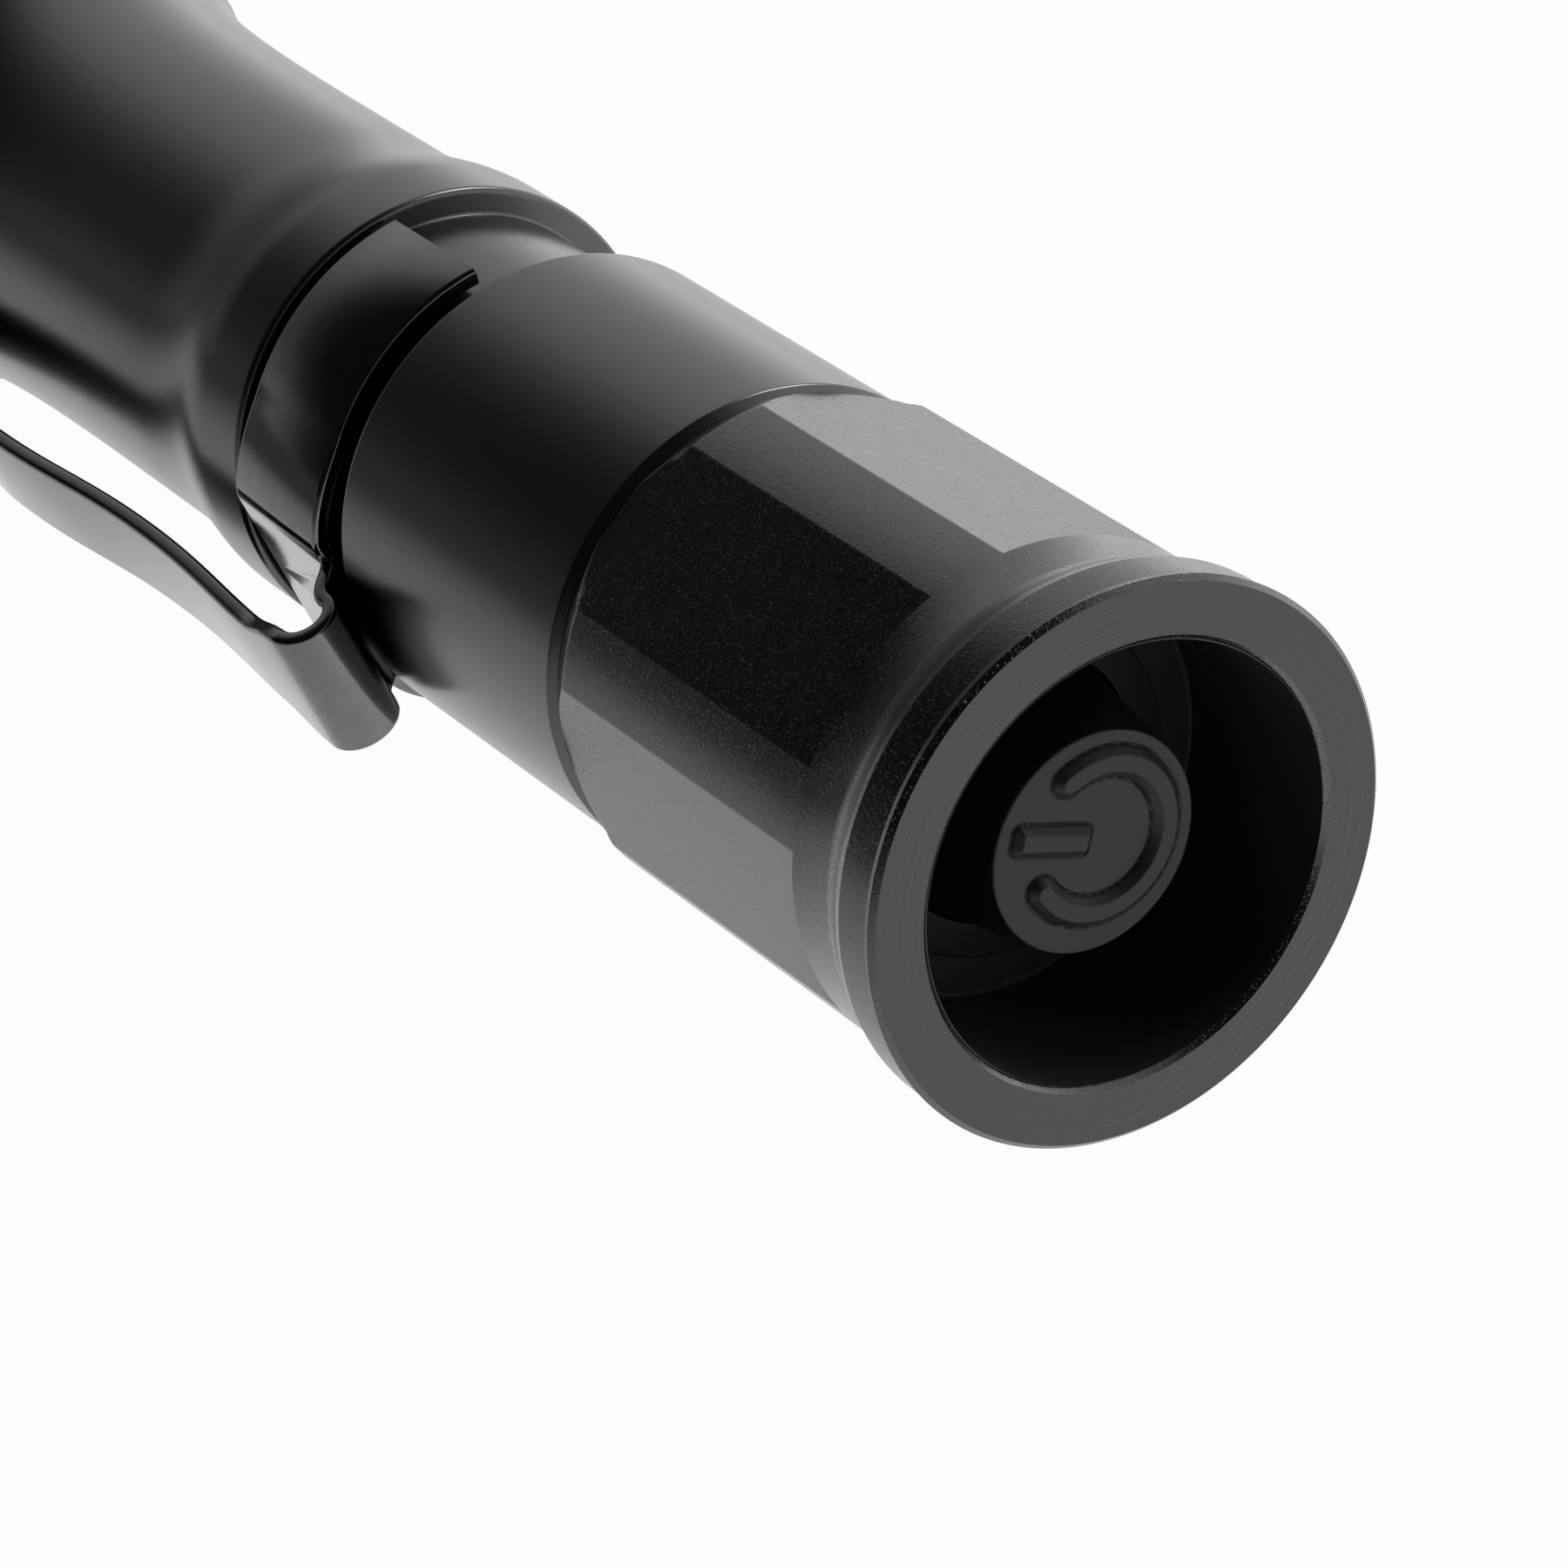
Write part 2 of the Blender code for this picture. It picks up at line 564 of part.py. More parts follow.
def make_body(parent):
    seal_front = CAP_L - SEAL_GROOVE_BACK
    seal_back = seal_front - SEAL_GROOVE_L
    outside = [(TUBE_TAIL, BORE_R), (TUBE_TAIL, THREAD_R - THREAD_EDGE),
               (TUBE_TAIL + THREAD_EDGE, THREAD_R), (seal_back, THREAD_R),
               (seal_back, SEAL_FLOOR_R), (seal_front, SEAL_FLOOR_R), (seal_front, THREAD_R),
               (TUBE_AT, THREAD_R), (TUBE_AT, TUBE_R - SHOULDER_CHAMFER),
               (TUBE_AT + SHOULDER_CHAMFER, TUBE_R),
               (GROOVE_AT - GROOVE_BACK_EDGE, TUBE_R), (GROOVE_AT, TUBE_R - GROOVE_BACK_EDGE),
               (GROOVE_AT, GROOVE_R), (GROOVE_END, GROOVE_R),
               (GROOVE_END, SHOULDER_R - GROOVE_FRONT_EDGE),
               (GROOVE_END + GROOVE_FRONT_EDGE, SHOULDER_R)]
    fall = bezier((SHOULDER_END, SHOULDER_R), (SHOULDER_END + WAIST_FALL_L * 0.32, SHOULDER_R),
                  (SHOULDER_END + WAIST_FALL_L * 0.4, WAIST_R), (WAIST_AT, WAIST_R), 6)
    outside += fall + head_flare(6)
    outside.append((HEAD_AT + HEAD_CHAMFER, HEAD_R))
    for i in range(FIN_COUNT):
        start = HEAD_AT + FIN_START + FIN_PITCH * i
        outside += [(start, HEAD_R), (start, HEAD_R - FIN_DEPTH),
                    (start + FIN_GAP, HEAD_R - FIN_DEPTH), (start + FIN_GAP, HEAD_R)]
    outside += [(HEAD_END - HEAD_CHAMFER, HEAD_R), (HEAD_END, HEAD_R - HEAD_CHAMFER),
                (HEAD_END, STUB_R), (STUB_END, STUB_R)]
    front = [(STUB_END, HEAD_BORE_R), (SHELF_END, HEAD_BORE_R), (SHELF_END, 0.0)]
    tail_side = [(SHELF_AT, 0.0), (SHELF_AT, BORE_R - DRIVER_LEDGE),
                 (LEDGE_AT, BORE_R - DRIVER_LEDGE), (LEDGE_AT, BORE_R)]
    body = turned("body_tube", outside + front + tail_side, BLACK, parent, TUBE_TAIL)
    cut_flats(body, HEAD_AT - FLAT_RUNOUT, HEAD_END + SEAT_GAP / 2, HEAD_FLAT_R, 0.0, parent)
    for side in (1, -1):
        drill = disc("wire_hole", SHELF_AT - CUT_PAST, SHELF_END + CUT_PAST, WIRE_HOLE_R, BLACK,
                     parent, 12)
        drill.location.y = side * WIRE_OUT
        combine(body, drill, "DIFFERENCE")
        tap = disc("screw_hole", SHELF_AT - CUT_PAST, SHELF_END + CUT_PAST, SCREW_R + SMALL_GAP,
                   BLACK, parent, 12)
        tap.location.z = side * SCREW_OUT
        combine(body, tap, "DIFFERENCE")
    seal_ring("tail_o_ring", seal_back + (SEAL_GROOVE_L - SEAL_SECTION) / 2,
              SEAL_FLOOR_R + SEAL_GAP, SEAL_SECTION, RUBBER, parent)


def make_cell(parent):
    edge = CELL_EDGE
    radius = CELL_D / 2
    profile = [(CELL_AT, 0.0), (CELL_AT, radius - edge), (CELL_AT + edge, radius),
               (CELL_END - edge, radius), (CELL_END, radius - edge),
               (CELL_END, radius - 2 * edge), (CELL_END - edge, radius - 3 * edge),
               (CELL_END - edge, 0.0)]
    turned("battery_cell", profile, CELL_WRAP, parent, CELL_AT, SMALL_SIDES)
    disc("battery_terminal", CELL_END - edge + SMALL_GAP, CELL_END + TERMINAL_H, TERMINAL_R,
         STEEL, parent, 24, TERMINAL_EDGE)


# Driver, light engine and bezel

def make_driver(parent):
    disc("driver_board", DRIVER_AT, DRIVER_END, BORE_R - SMALL_GAP, GREEN_BOARD, parent)
    ring = washer("driver_retaining_ring", DRIVER_AT - SMALL_GAP - RING_T,
                  DRIVER_AT - SMALL_GAP, BORE_R - SMALL_GAP - RING_WIDTH, BORE_R - SMALL_GAP,
                  BRASS, parent)
    cut_spanner_slots(ring, DRIVER_AT - SMALL_GAP - RING_T - CUT_PAST,
                      DRIVER_AT - SMALL_GAP - RING_T + SPANNER_DEPTH, BORE_R, parent)
    coil("driver_spring", HEAD_SPRING_L, HEAD_SPRING_R, SPRING_WIRE, HEAD_SPRING_TURNS, GOLD,
         parent, HEAD_SPRING_AT, True)
    parts_at = DRIVER_END + SMALL_GAP
    boxed("driver_inductor", INDUCTOR, (INDUCTOR[0] / 2, 0, PARTS_OUT), GREY_FERRITE, parent,
          parts_at, INDUCTOR_EDGE)
    boxed("driver_chip", CHIP, (CHIP[0] / 2, 0, -PARTS_OUT), BLACK_PLASTIC, parent, parts_at)


def make_light_engine(parent):
    star = disc("led_board", STAR_AT, STAR_END, STAR_R, WHITE_BOARD, parent)
    for side, name in ((1, "positive"), (-1, "negative")):
        hole = disc("star_wire_hole", STAR_AT - CUT_PAST, STAR_END + CUT_PAST, WIRE_HOLE_R,
                    WHITE_BOARD, parent, 12)
        hole.location.y = side * WIRE_OUT
        combine(star, hole, "DIFFERENCE")
        wire = disc("led_wire_" + name, DRIVER_END + SMALL_GAP, STAR_END + WIRE_SHOW, WIRE_R,
                    RED_WIRE if side > 0 else BLACK_PLASTIC, parent, 10)
        wire.location.y = side * WIRE_OUT
    for side in (1, -1):
        hole = disc("star_screw_hole", STAR_AT - CUT_PAST, STAR_END + CUT_PAST,
                    SCREW_R + SMALL_GAP, WHITE_BOARD, parent, 12)
        hole.location.z = side * SCREW_OUT
        combine(star, hole, "DIFFERENCE")
        head_at = STAR_END + SMALL_GAP
        tip = head_at - SCREW_L
        profile = [(tip, 0.0), (tip, SCREW_R), (head_at, SCREW_R), (head_at, SCREW_HEAD_R),
                   (head_at + SCREW_HEAD_H, SCREW_HEAD_R * 0.8), (head_at + SCREW_HEAD_H, 0.0)]
        turned("led_board_screw_" + ("top" if side > 0 else "bottom"), profile, STEEL, parent,
               tip, 12, out=(0.0, side * SCREW_OUT))
    boxed("led_emitter", (EMITTER_T, EMITTER_SIDE, EMITTER_SIDE),
          (EMITTER_T / 2, 0, 0), WHITE_PLASTIC, parent, STAR_END + SMALL_GAP)
    dome_at = STAR_END + 2 * SMALL_GAP + EMITTER_T
    profile = [(dome_at, 0.0)] + arc((dome_at, 0.0), EMITTER_DOME_R, 90, 0, 5)
    turned("led_dome", profile, CLEAR_SILICONE, parent, dome_at, 24)
    washer("led_gasket", GASKET_AT, GASKET_AT + GASKET_T,
           EMITTER_SIDE / 2 * math.sqrt(2) + SMALL_GAP, GASKET_R, WHITE_PLASTIC, parent)


def make_reflector(parent):
    """A parabola from the emitter's hole out to the front flange."""
    front_r = HEAD_BORE_R - SMALL_GAP
    depth = REFLECTOR_END - REFLECTOR_AT
    bowl_r = front_r - REFLECTOR_FLANGE
    steps = REFLECTOR_STEPS

    def bowl(share):
        radius = REFLECTOR_HOLE_R + (bowl_r - REFLECTOR_HOLE_R) * share
        rise = (radius ** 2 - REFLECTOR_HOLE_R ** 2) / (bowl_r ** 2 - REFLECTOR_HOLE_R ** 2)
        return REFLECTOR_AT + depth * rise, radius

    inside = [bowl(i / steps) for i in range(steps + 1)]
    flange_at = REFLECTOR_END - REFLECTOR_FLANGE_T
    outside = [(REFLECTOR_END, front_r), (flange_at, front_r), (flange_at, bowl_r + SMALL_GAP)]
    for i in range(steps - 1, 0, -2):
        x, radius = bowl(i / steps)
        outside.append((x, radius + REFLECTOR_WALL))
    outside.append((REFLECTOR_AT, REFLECTOR_HOLE_R + REFLECTOR_WALL))
    turned("reflector", inside + outside, MIRROR, parent, REFLECTOR_AT, SMALL_SIDES)


def make_front(parent):
    disc("lens", LENS_AT, LENS_END, HEAD_BORE_R - SMALL_GAP, GLASS, parent, SMALL_SIDES,
         LENS_EDGE)
    front = LIGHT_L
    lip_at = front - BEZEL_LIP
    washer("lens_gasket", LENS_END + SMALL_GAP, LENS_END + SMALL_GAP + FRONT_SEAL,
           BEZEL_OPENING_R + LENS_SEAL_BACK, HEAD_BORE_R - SMALL_GAP, RUBBER, parent)
    thread_r = STUB_R + THREAD_GAP
    groove_at = BEZEL_AT + BEZEL_L * 0.55
    profile = [(BEZEL_AT, thread_r), (BEZEL_AT, BEZEL_R - BEZEL_CHAMFER / 2),
               (BEZEL_AT + BEZEL_CHAMFER / 2, BEZEL_R), (groove_at, BEZEL_R),
               (groove_at + BEZEL_GROOVE / 2, BEZEL_R - BEZEL_GROOVE / 2),
               (groove_at + BEZEL_GROOVE, BEZEL_R), (front - BEZEL_CHAMFER, BEZEL_R),
               (front, BEZEL_R - BEZEL_CHAMFER), (front, BEZEL_OPENING_R + BEZEL_LIP * 0.7),
               (lip_at, BEZEL_OPENING_R), (lip_at, thread_r)]
    turned("bezel", profile, BLACK, parent, BEZEL_AT)


# Pocket clip

def clip_point(place, out, across):
    """X, Y, Z of a point of the clip: out is along its middle, across is along its width."""
    turn = math.radians(CLIP_TURN)
    out_way = Vector((0.0, math.sin(turn), math.cos(turn)))
    across_way = Vector((0.0, math.cos(turn), -math.sin(turn)))
    return Vector((place, 0.0, 0.0)) + out_way * out + across_way * across


def clip_ring_outline():
    """Outline of the spring ring: flat under the arm, round elsewhere, open on the far side."""
    thick = CLIP_RING_T
    flat_mid = GROOVE_R + CLIP_FLAT_GAP + thick / 2
    round_mid = GROOVE_R + CLIP_RING_GAP + thick / 2
    crease = math.degrees(math.atan2(CLIP_FLAT, flat_mid))
    crease_r = math.hypot(CLIP_FLAT, flat_mid)
    last = 180 - CLIP_MOUTH
    half = []
    count = 13
    for i in range(count + 1):
        turn = crease + (last - crease) * i / count
        ease = min(1.0, (turn - crease) / CLIP_EASE)
        ease = ease * ease * (3 - 2 * ease)
        half.append((turn, crease_r + (round_mid - crease_r) * ease))
    angles = [(-turn, radius) for turn, radius in reversed(half)] + half
    outer, inner = [], []
    for turn, radius in angles:
        outer.append(around(radius + thick / 2, CLIP_TURN + turn))
        inner.append(around(radius - thick / 2, CLIP_TURN + turn))
    return outer + inner[::-1]


def clip_strip_middle():
    """Middle line of the strip as (place, distance from the axis), from the ring to the tip."""
    seat = GROOVE_R + CLIP_FLAT_GAP + CLIP_RING_T / 2
    bend_out = TUBE_R + CLIP_BEND_OUT
    bend_mid = CLIP_BEND_R - CLIP_T / 2
    low = bend_out - bend_mid
    high = bend_out + bend_mid
    line = [(CLIP_RING_AT + CLIP_ROOT, seat)]
    line += bezier((CLIP_RING_AT + 0.6 * MM, seat), (CLIP_RING_AT - 0.55 * MM, seat),
                   (CLIP_BEND_AT + 1.3 * MM, low), (CLIP_BEND_AT, low), 5)
    line += arc((CLIP_BEND_AT, bend_out), bend_mid, 270, 90, 10)[1:]
    sag = high - CLIP_SAG
    touch = flare_radius(CLIP_BEND_AT + CLIP_TOUCH_AT) + CLIP_TOUCH_GAP + CLIP_T / 2
    knots = [(0.0, high), (CLIP_SAG_AT, sag), (CLIP_RISE_AT, high), (CLIP_TOUCH_AT, touch),
             (CLIP_TIP_AT, touch + CLIP_TIP_LIFT)]
    for (a, out_a), (b, out_b) in zip(knots, knots[1:]):
        reach = (b - a) * 0.42
        pull_b = out_b if b != CLIP_TIP_AT else out_b - CLIP_TIP_EASE
        line += bezier((CLIP_BEND_AT + a, out_a), (CLIP_BEND_AT + a + reach, out_a),
                       (CLIP_BEND_AT + b - reach, pull_b), (CLIP_BEND_AT + b, out_b), 6)[1:]
    return line


def clip_width(place):
    share = min(1.0, max(0.0, (place - CLIP_BEND_AT) / CLIP_TAPER_L))
    share = share * share * (3 - 2 * share)
    width = CLIP_BEND_W + (CLIP_ARM_W - CLIP_BEND_W) * share
    from_tip = CLIP_BEND_AT + CLIP_TIP_AT - place
    if from_tip < CLIP_TIP_R:
        inset = CLIP_TIP_R - math.sqrt(max(0.0, CLIP_TIP_R ** 2 - (CLIP_TIP_R - from_tip) ** 2))
        width -= CLIP_TIP_NARROW * inset
    return width


def make_clip(parent):
    ring = extruded("pocket_clip", clip_ring_outline(), CLIP_RING_L, SPRING_STEEL, parent,
                    CLIP_RING_AT)
    line = clip_strip_middle()
    shape = bmesh.new()
    rows = []
    for i, (x, out) in enumerate(line):
        ahead = line[min(i + 1, len(line) - 1)]
        behind = line[max(i - 1, 0)]
        way = Vector((ahead[0] - behind[0], ahead[1] - behind[1])).normalized()
        side = Vector((-way.y, way.x)) * CLIP_T / 2
        half = clip_width(x) / 2 if i > 0 else CLIP_BEND_W / 2
        row = []
        for lift, across in ((1, -half), (1, half), (-1, half), (-1, -half)):
            row.append(shape.verts.new(clip_point(x + lift * side.x - CLIP_RING_AT,
                                                  out + lift * side.y, across)))
        rows.append(row)
    for a, b in zip(rows, rows[1:]):
        for j in range(4):
            k = (j + 1) % 4
            shape.faces.new((a[j], a[k], b[k], b[j]))
    shape.faces.new(rows[0])
    shape.faces.new(rows[-1][::-1])
    strip = add_object("clip_strip", shape, CLIP_RING_AT, SPRING_STEEL, parent)
    combine(ring, strip, "UNION")


clear_scene()
BLACK = material("black_anodised", (0.018, 0.018, 0.02), 0.42, 0.6)
RUBBER = material("black_rubber", (0.02, 0.02, 0.021), 0.6, 0.0)
DARK_STEEL = material("dark_ring", (0.05, 0.05, 0.052), 0.4, 0.7)
SPRING_STEEL = material("black_spring_steel", (0.05, 0.05, 0.052), 0.22, 0.9)
STEEL = material("nickel_steel", (0.6, 0.6, 0.58), 0.3, 1.0)
BRASS = material("brass", (0.72, 0.55, 0.25), 0.35, 1.0)
GOLD = material("gold_plating", (0.85, 0.65, 0.3), 0.25, 1.0)
GREEN_BOARD = material("green_board", (0.03, 0.16, 0.07), 0.5, 0.0)
WHITE_BOARD = material("white_board", (0.75, 0.75, 0.72), 0.5, 0.0)
WHITE_PLASTIC = material("white_plastic", (0.8, 0.8, 0.78), 0.5, 0.0)
BLACK_PLASTIC = material("black_plastic", (0.02, 0.02, 0.02), 0.5, 0.0)
GREY_FERRITE = material("grey_ferrite", (0.12, 0.12, 0.12), 0.7, 0.0)
CELL_WRAP = material("cell_wrap", (0.05, 0.2, 0.42), 0.4, 0.0)
RED_WIRE = material("red_wire", (0.6, 0.03, 0.03), 0.5, 0.0)
CLEAR_SILICONE = material("clear_silicone", (0.9, 0.85, 0.5), 0.2, 0.0)
MIRROR = material("mirror", (0.9, 0.9, 0.9), 0.08, 1.0)
GLASS = material("lens_glass", (0.85, 0.9, 0.9), 0.05, 0.0)

light = bpy.data.objects.new("light_axis", None)
bpy.context.scene.collection.objects.link(light)
light.location = (TAIL_X, AXIS_Y, AXIS_Z)

make_tail_cap(light)
make_button(light)
make_switch(light)
make_body(light)
make_cell(light)
make_driver(light)
make_light_engine(light)
make_reflector(light)
make_front(light)
make_clip(light)
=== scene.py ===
import math

import bmesh
import bpy
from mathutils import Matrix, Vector


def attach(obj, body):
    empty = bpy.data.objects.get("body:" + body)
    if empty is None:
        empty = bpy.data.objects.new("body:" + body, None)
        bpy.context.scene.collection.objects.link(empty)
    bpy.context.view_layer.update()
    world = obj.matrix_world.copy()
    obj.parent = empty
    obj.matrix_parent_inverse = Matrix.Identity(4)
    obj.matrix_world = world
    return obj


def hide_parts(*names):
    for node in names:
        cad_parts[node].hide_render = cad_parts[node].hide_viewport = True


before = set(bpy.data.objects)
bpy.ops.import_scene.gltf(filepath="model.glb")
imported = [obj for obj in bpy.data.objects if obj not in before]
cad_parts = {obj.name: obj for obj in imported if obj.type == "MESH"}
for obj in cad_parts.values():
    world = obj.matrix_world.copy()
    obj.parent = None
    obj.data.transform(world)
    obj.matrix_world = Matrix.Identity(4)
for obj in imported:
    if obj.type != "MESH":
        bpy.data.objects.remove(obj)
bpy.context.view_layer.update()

# Sizes in millimetres. Places along the axis count from the tail rim's face. The button, its symbol, the
# rim's band and the flare behind it differ a little from the part's source, after a closer fit.
MM = 0.001
TAIL_X, AXIS_Y, AXIS_Z = -63.385, -0.791139, 13.48
RIM_R, LAND_R, CAP_FLAT_R = 13.48, 12.51, 11.68
RIM_EDGE, LIP_END, BAND_R = 0.27, 0.68, 13.32
CAP_L, RIM_BAND, FLARE_END, FLAT_START = 28.5, 2.75, 4.9, 7.6
CAP_TAPER_AT, CAP_TAPER_L, CAP_END_R = 26.9, 1.6, 11.75
CAP_FLAT_TURN = 46.8
RECESS_R, RECESS_DEPTH, WEB_AT, MOUTH_CHAMFER = 10.45, 10.0, 11.2, 0.32
POCKET_R, CAP_BORE_R, CAP_STEP_AT = 9.4, 11.0, 17.5
TRIM_IN_R, TRIM_OUT_R, TRIM_AT, TRIM_END = 6.5, 8.2, 9.1, 9.85
BUTTON_AT, BUTTON_R, BUTTON_BASE_R = 2.77, 5.3, 6.3
BUTTON_EDGE, BUTTON_STEP, BUTTON_WALL, BUTTON_TOP_WALL = 0.35, 0.05, 1.35, 3.7
FLANGE_AT, FLANGE_END, FLANGE_R = 11.5, 12.4, 8.0
SYMBOL_R, SYMBOL_HALF, SYMBOL_SLOPE, SYMBOL_H = 3.56, 0.76, 0.4, 0.38
SYMBOL_TURN, SYMBOL_OPEN, SYMBOL_MIDDLE = 76.0, 46.0, (-0.235, -0.29)
MOAT_DEPTH, MOAT_HALF, MOAT_OUT = 0.08, 0.09, 0.03
BAR_START, BAR_END, BAR_ACROSS, BAR_CORNER = 0.25, 4.5, -0.13, 0.35
TUBE_TAIL, THREAD_R, THREAD_PITCH, THREAD_DEPTH = 17.8, 10.8, 1.25, 0.5
THREAD_EDGE, THREAD_END_GAP, THREAD_EASE = 0.4, 0.3, 0.6
THREAD_STEP, THREAD_FIRST, THREAD_SPARE = 0.13, 0.02, 0.6
SEAL_BACK, SEAL_FRONT, SEAL_FLOOR_R, SEAL_SECTION, SEAL_CLEAR = 24.4, 25.9, 9.95, 0.8, 0.1
TUBE_AT, TUBE_R, TUBE_CHAMFER = 28.65, 12.0, 0.35
GROOVE_AT, GROOVE_END, GROOVE_R = 48.17, 58.57, 10.5
SHOULDER_R, SHOULDER_END = 11.9, 62.17
WAIST_R, WAIST_AT, WAIST_END = 11.06, 70.67, 78.67
HEAD_AT, HEAD_END, HEAD_R, HEAD_FLAT_R = 104.67, 116.17, 14.6, 13.48
HEAD_CHAMFER, FLAT_RUNOUT = 0.5, 8.0
FIN_COUNT, FIN_START, FIN_PITCH, FIN_GAP, FIN_DEPTH = 3, 2.2, 2.9, 1.3, 1.5
STUB_R, STUB_END, HEAD_BORE_R, SHELF_END = 12.1, 122.67, 11.0, 100.95
BORE_R, LEDGE_AT, LEDGE_R, SHELF_AT = 9.4, 94.95, 8.0, 97.95
BEZEL_AT, FRONT, BEZEL_R, BEZEL_OPENING_R, BEZEL_LIP = 116.47, 126.77, 13.3, 9.6, 1.7
BEZEL_L, BEZEL_CHAMFER, BEZEL_GROOVE, BEZEL_EDGE, BEZEL_CLEAR = 10.3, 0.6, 0.5, 0.3, 0.2
REFLECTOR_AT, REFLECTOR_END, REFLECTOR_HOLE_R = 104.0, 121.72, 3.7
REFLECTOR_WALL, REFLECTOR_FLANGE, REFLECTOR_FLANGE_T = 0.9, 1.3, 1.2
PHOSPHOR_AT, PHOSPHOR_END, PHOSPHOR_R = 103.56, 103.66, 1.5
LENS_AT, LENS_END, LENS_CLEAR = 121.87, 123.77, 0.15
CLIP_TURN, CLIP_T, CLIP_RING_T, CLIP_RING_AT, CLIP_RING_L = 116.6, 0.9, 0.9, 49.97, 7.9
CLIP_FLAT, CLIP_FLAT_GAP, CLIP_RING_GAP, CLIP_EASE, CLIP_MOUTH = 4.6, 0.15, 0.5, 26.0, 79.0
CLIP_BEND_AT, CLIP_BEND_R, CLIP_BEND_OUT = 47.82, 1.92, 14.3
CLIP_BEND_W, CLIP_ARM_W, CLIP_TAPER_L = 7.5, 5.6, 4.0
CLIP_ROOT, CLIP_LAP_END, CLIP_LEAVE = 3.0, 1.6, 0.6
CLIP_SAG_AT, CLIP_SAG, CLIP_RISE_AT = 15.5, 0.73, 32.0
CLIP_TOUCH_AT, CLIP_TOUCH_GAP = 49.5, 0.35
CLIP_TIP_AT, CLIP_TIP_LIFT, CLIP_TIP_EASE, CLIP_TIP_R, CLIP_TIP_NARROW = 54.0, 1.4, 0.6, 2.0, 1.2

# How the shapes are made
CLIP_SEAT = (-4.4, -2.8, 0.0, 2.8, 4.4)     # places across the ring's flat seat
ARM_STATION = 30        # the arm's first station, past the turn of the bend
SUPPORT = 0.06          # from a rounding's end to the point that holds the face beside it
CUT_SHARE = 0.45        # the most of a line's length that a rounding at one end may take
SUPPORT_SHARE = 0.48    # the same with its support point
STRAIGHT = 88           # a corner with more degrees to each side of its middle isn't rounded
EDGE_TURN = 0.22        # degrees either side of a flat's edge
EDGE_CLEAR = 0.8        # degrees round a flat's edge that hold no other column
TINY = 1e-6


def spot(place, radius, turn):
    """A point in metres; turn is in degrees from the top towards the clip's side."""
    angle = math.radians(turn)
    return Vector((TAIL_X + place, AXIS_Y + radius * math.sin(angle),
                   AXIS_Z + radius * math.cos(angle))) * MM


def bezier(start, pull_a, pull_b, end, steps):
    """Points along a cubic curve that leaves start towards pull_a and reaches end from pull_b."""
    points = []
    for i in range(steps + 1):
        t = i / steps
        a, b, c, d = (1 - t) ** 3, 3 * t * (1 - t) ** 2, 3 * t * t * (1 - t), t ** 3
        points.append(tuple(a * p + b * q + c * r + d * s
                            for p, q, r, s in zip(start, pull_a, pull_b, end)))
    return points


def rounded(corners, steps):
    """A line through (place, radius, rounding) corners, each rounded by an arc with support points."""
    points = []
    for i, (x, r, rounding) in enumerate(corners):
        here = Vector((x, r))
        if rounding <= 0 or i in (0, len(corners) - 1):
            points.append((x, r))
            continue
        to_last = Vector(corners[i - 1][:2]) - here
        to_next = Vector(corners[i + 1][:2]) - here
        half = to_last.angle(to_next) / 2
        if half > math.radians(STRAIGHT):
            points.append((x, r))
            continue
        cut = min(rounding / math.tan(half), to_last.length * CUT_SHARE, to_next.length * CUT_SHARE)
        start = here + to_last.normalized() * cut
        end = here + to_next.normalized() * cut
        before = here + to_last.normalized() * min(cut + SUPPORT, to_last.length * SUPPORT_SHARE)
        after = here + to_next.normalized() * min(cut + SUPPORT, to_next.length * SUPPORT_SHARE)
        points.append(tuple(before))
        for j in range(steps + 1):
            t = j / steps
            points.append(tuple(start * (1 - t) ** 2 + here * 2 * t * (1 - t) + end * t * t))
        points.append(tuple(after))
    return points


def columns(count, flat_turn=None, half=0.0):
    """Turns of the columns of a turned piece, with a pair of columns at each edge of six flats."""
    turns = [360 * i / count for i in range(count)]
    if flat_turn is None:
        return turns
    edges = []
    for i in range(6):
        for side in (-1, 1):
            middle = (flat_turn + 60 * i + side * half) % 360
            edges += [(middle - EDGE_TURN) % 360, (middle + EDGE_TURN) % 360]
    kept = [t for t in turns
            if all(abs((t - e + 180) % 360 - 180) > EDGE_CLEAR for e in edges)]
    return sorted(kept + edges)


def flats(distance, turn, start):
    """A shape for lathe() that mills six flats at this distance from the axis."""
    def shape(place, radius, angle):
        if place < start:
            return radius
        away = (angle - turn + 30) % 60 - 30
        return min(radius, distance / math.cos(math.radians(away)))
    return shape


def mesh_object(name, shape, sharp=32.0, lengthwise=6.0):
    """Link a mesh with sharp edges by angle; edges along the axis are sharp at a smaller angle."""
    bmesh.ops.recalc_face_normals(shape, faces=shape.faces)
    for face in shape.faces:
        face.smooth = True
    for edge in shape.edges:
        if len(edge.link_faces) == 2:
            angle = math.degrees(edge.calc_face_angle(0.0))
            way = edge.verts[1].co - edge.verts[0].co
            along = abs(way.x) > 0.9 * way.length
            edge.smooth = not (angle > sharp or (along and angle > lengthwise))
    mesh = bpy.data.meshes.new(name)
    shape.to_mesh(mesh)
    shape.free()
    obj = bpy.data.objects.new(name, mesh)
    bpy.context.scene.collection.objects.link(obj)
    return obj


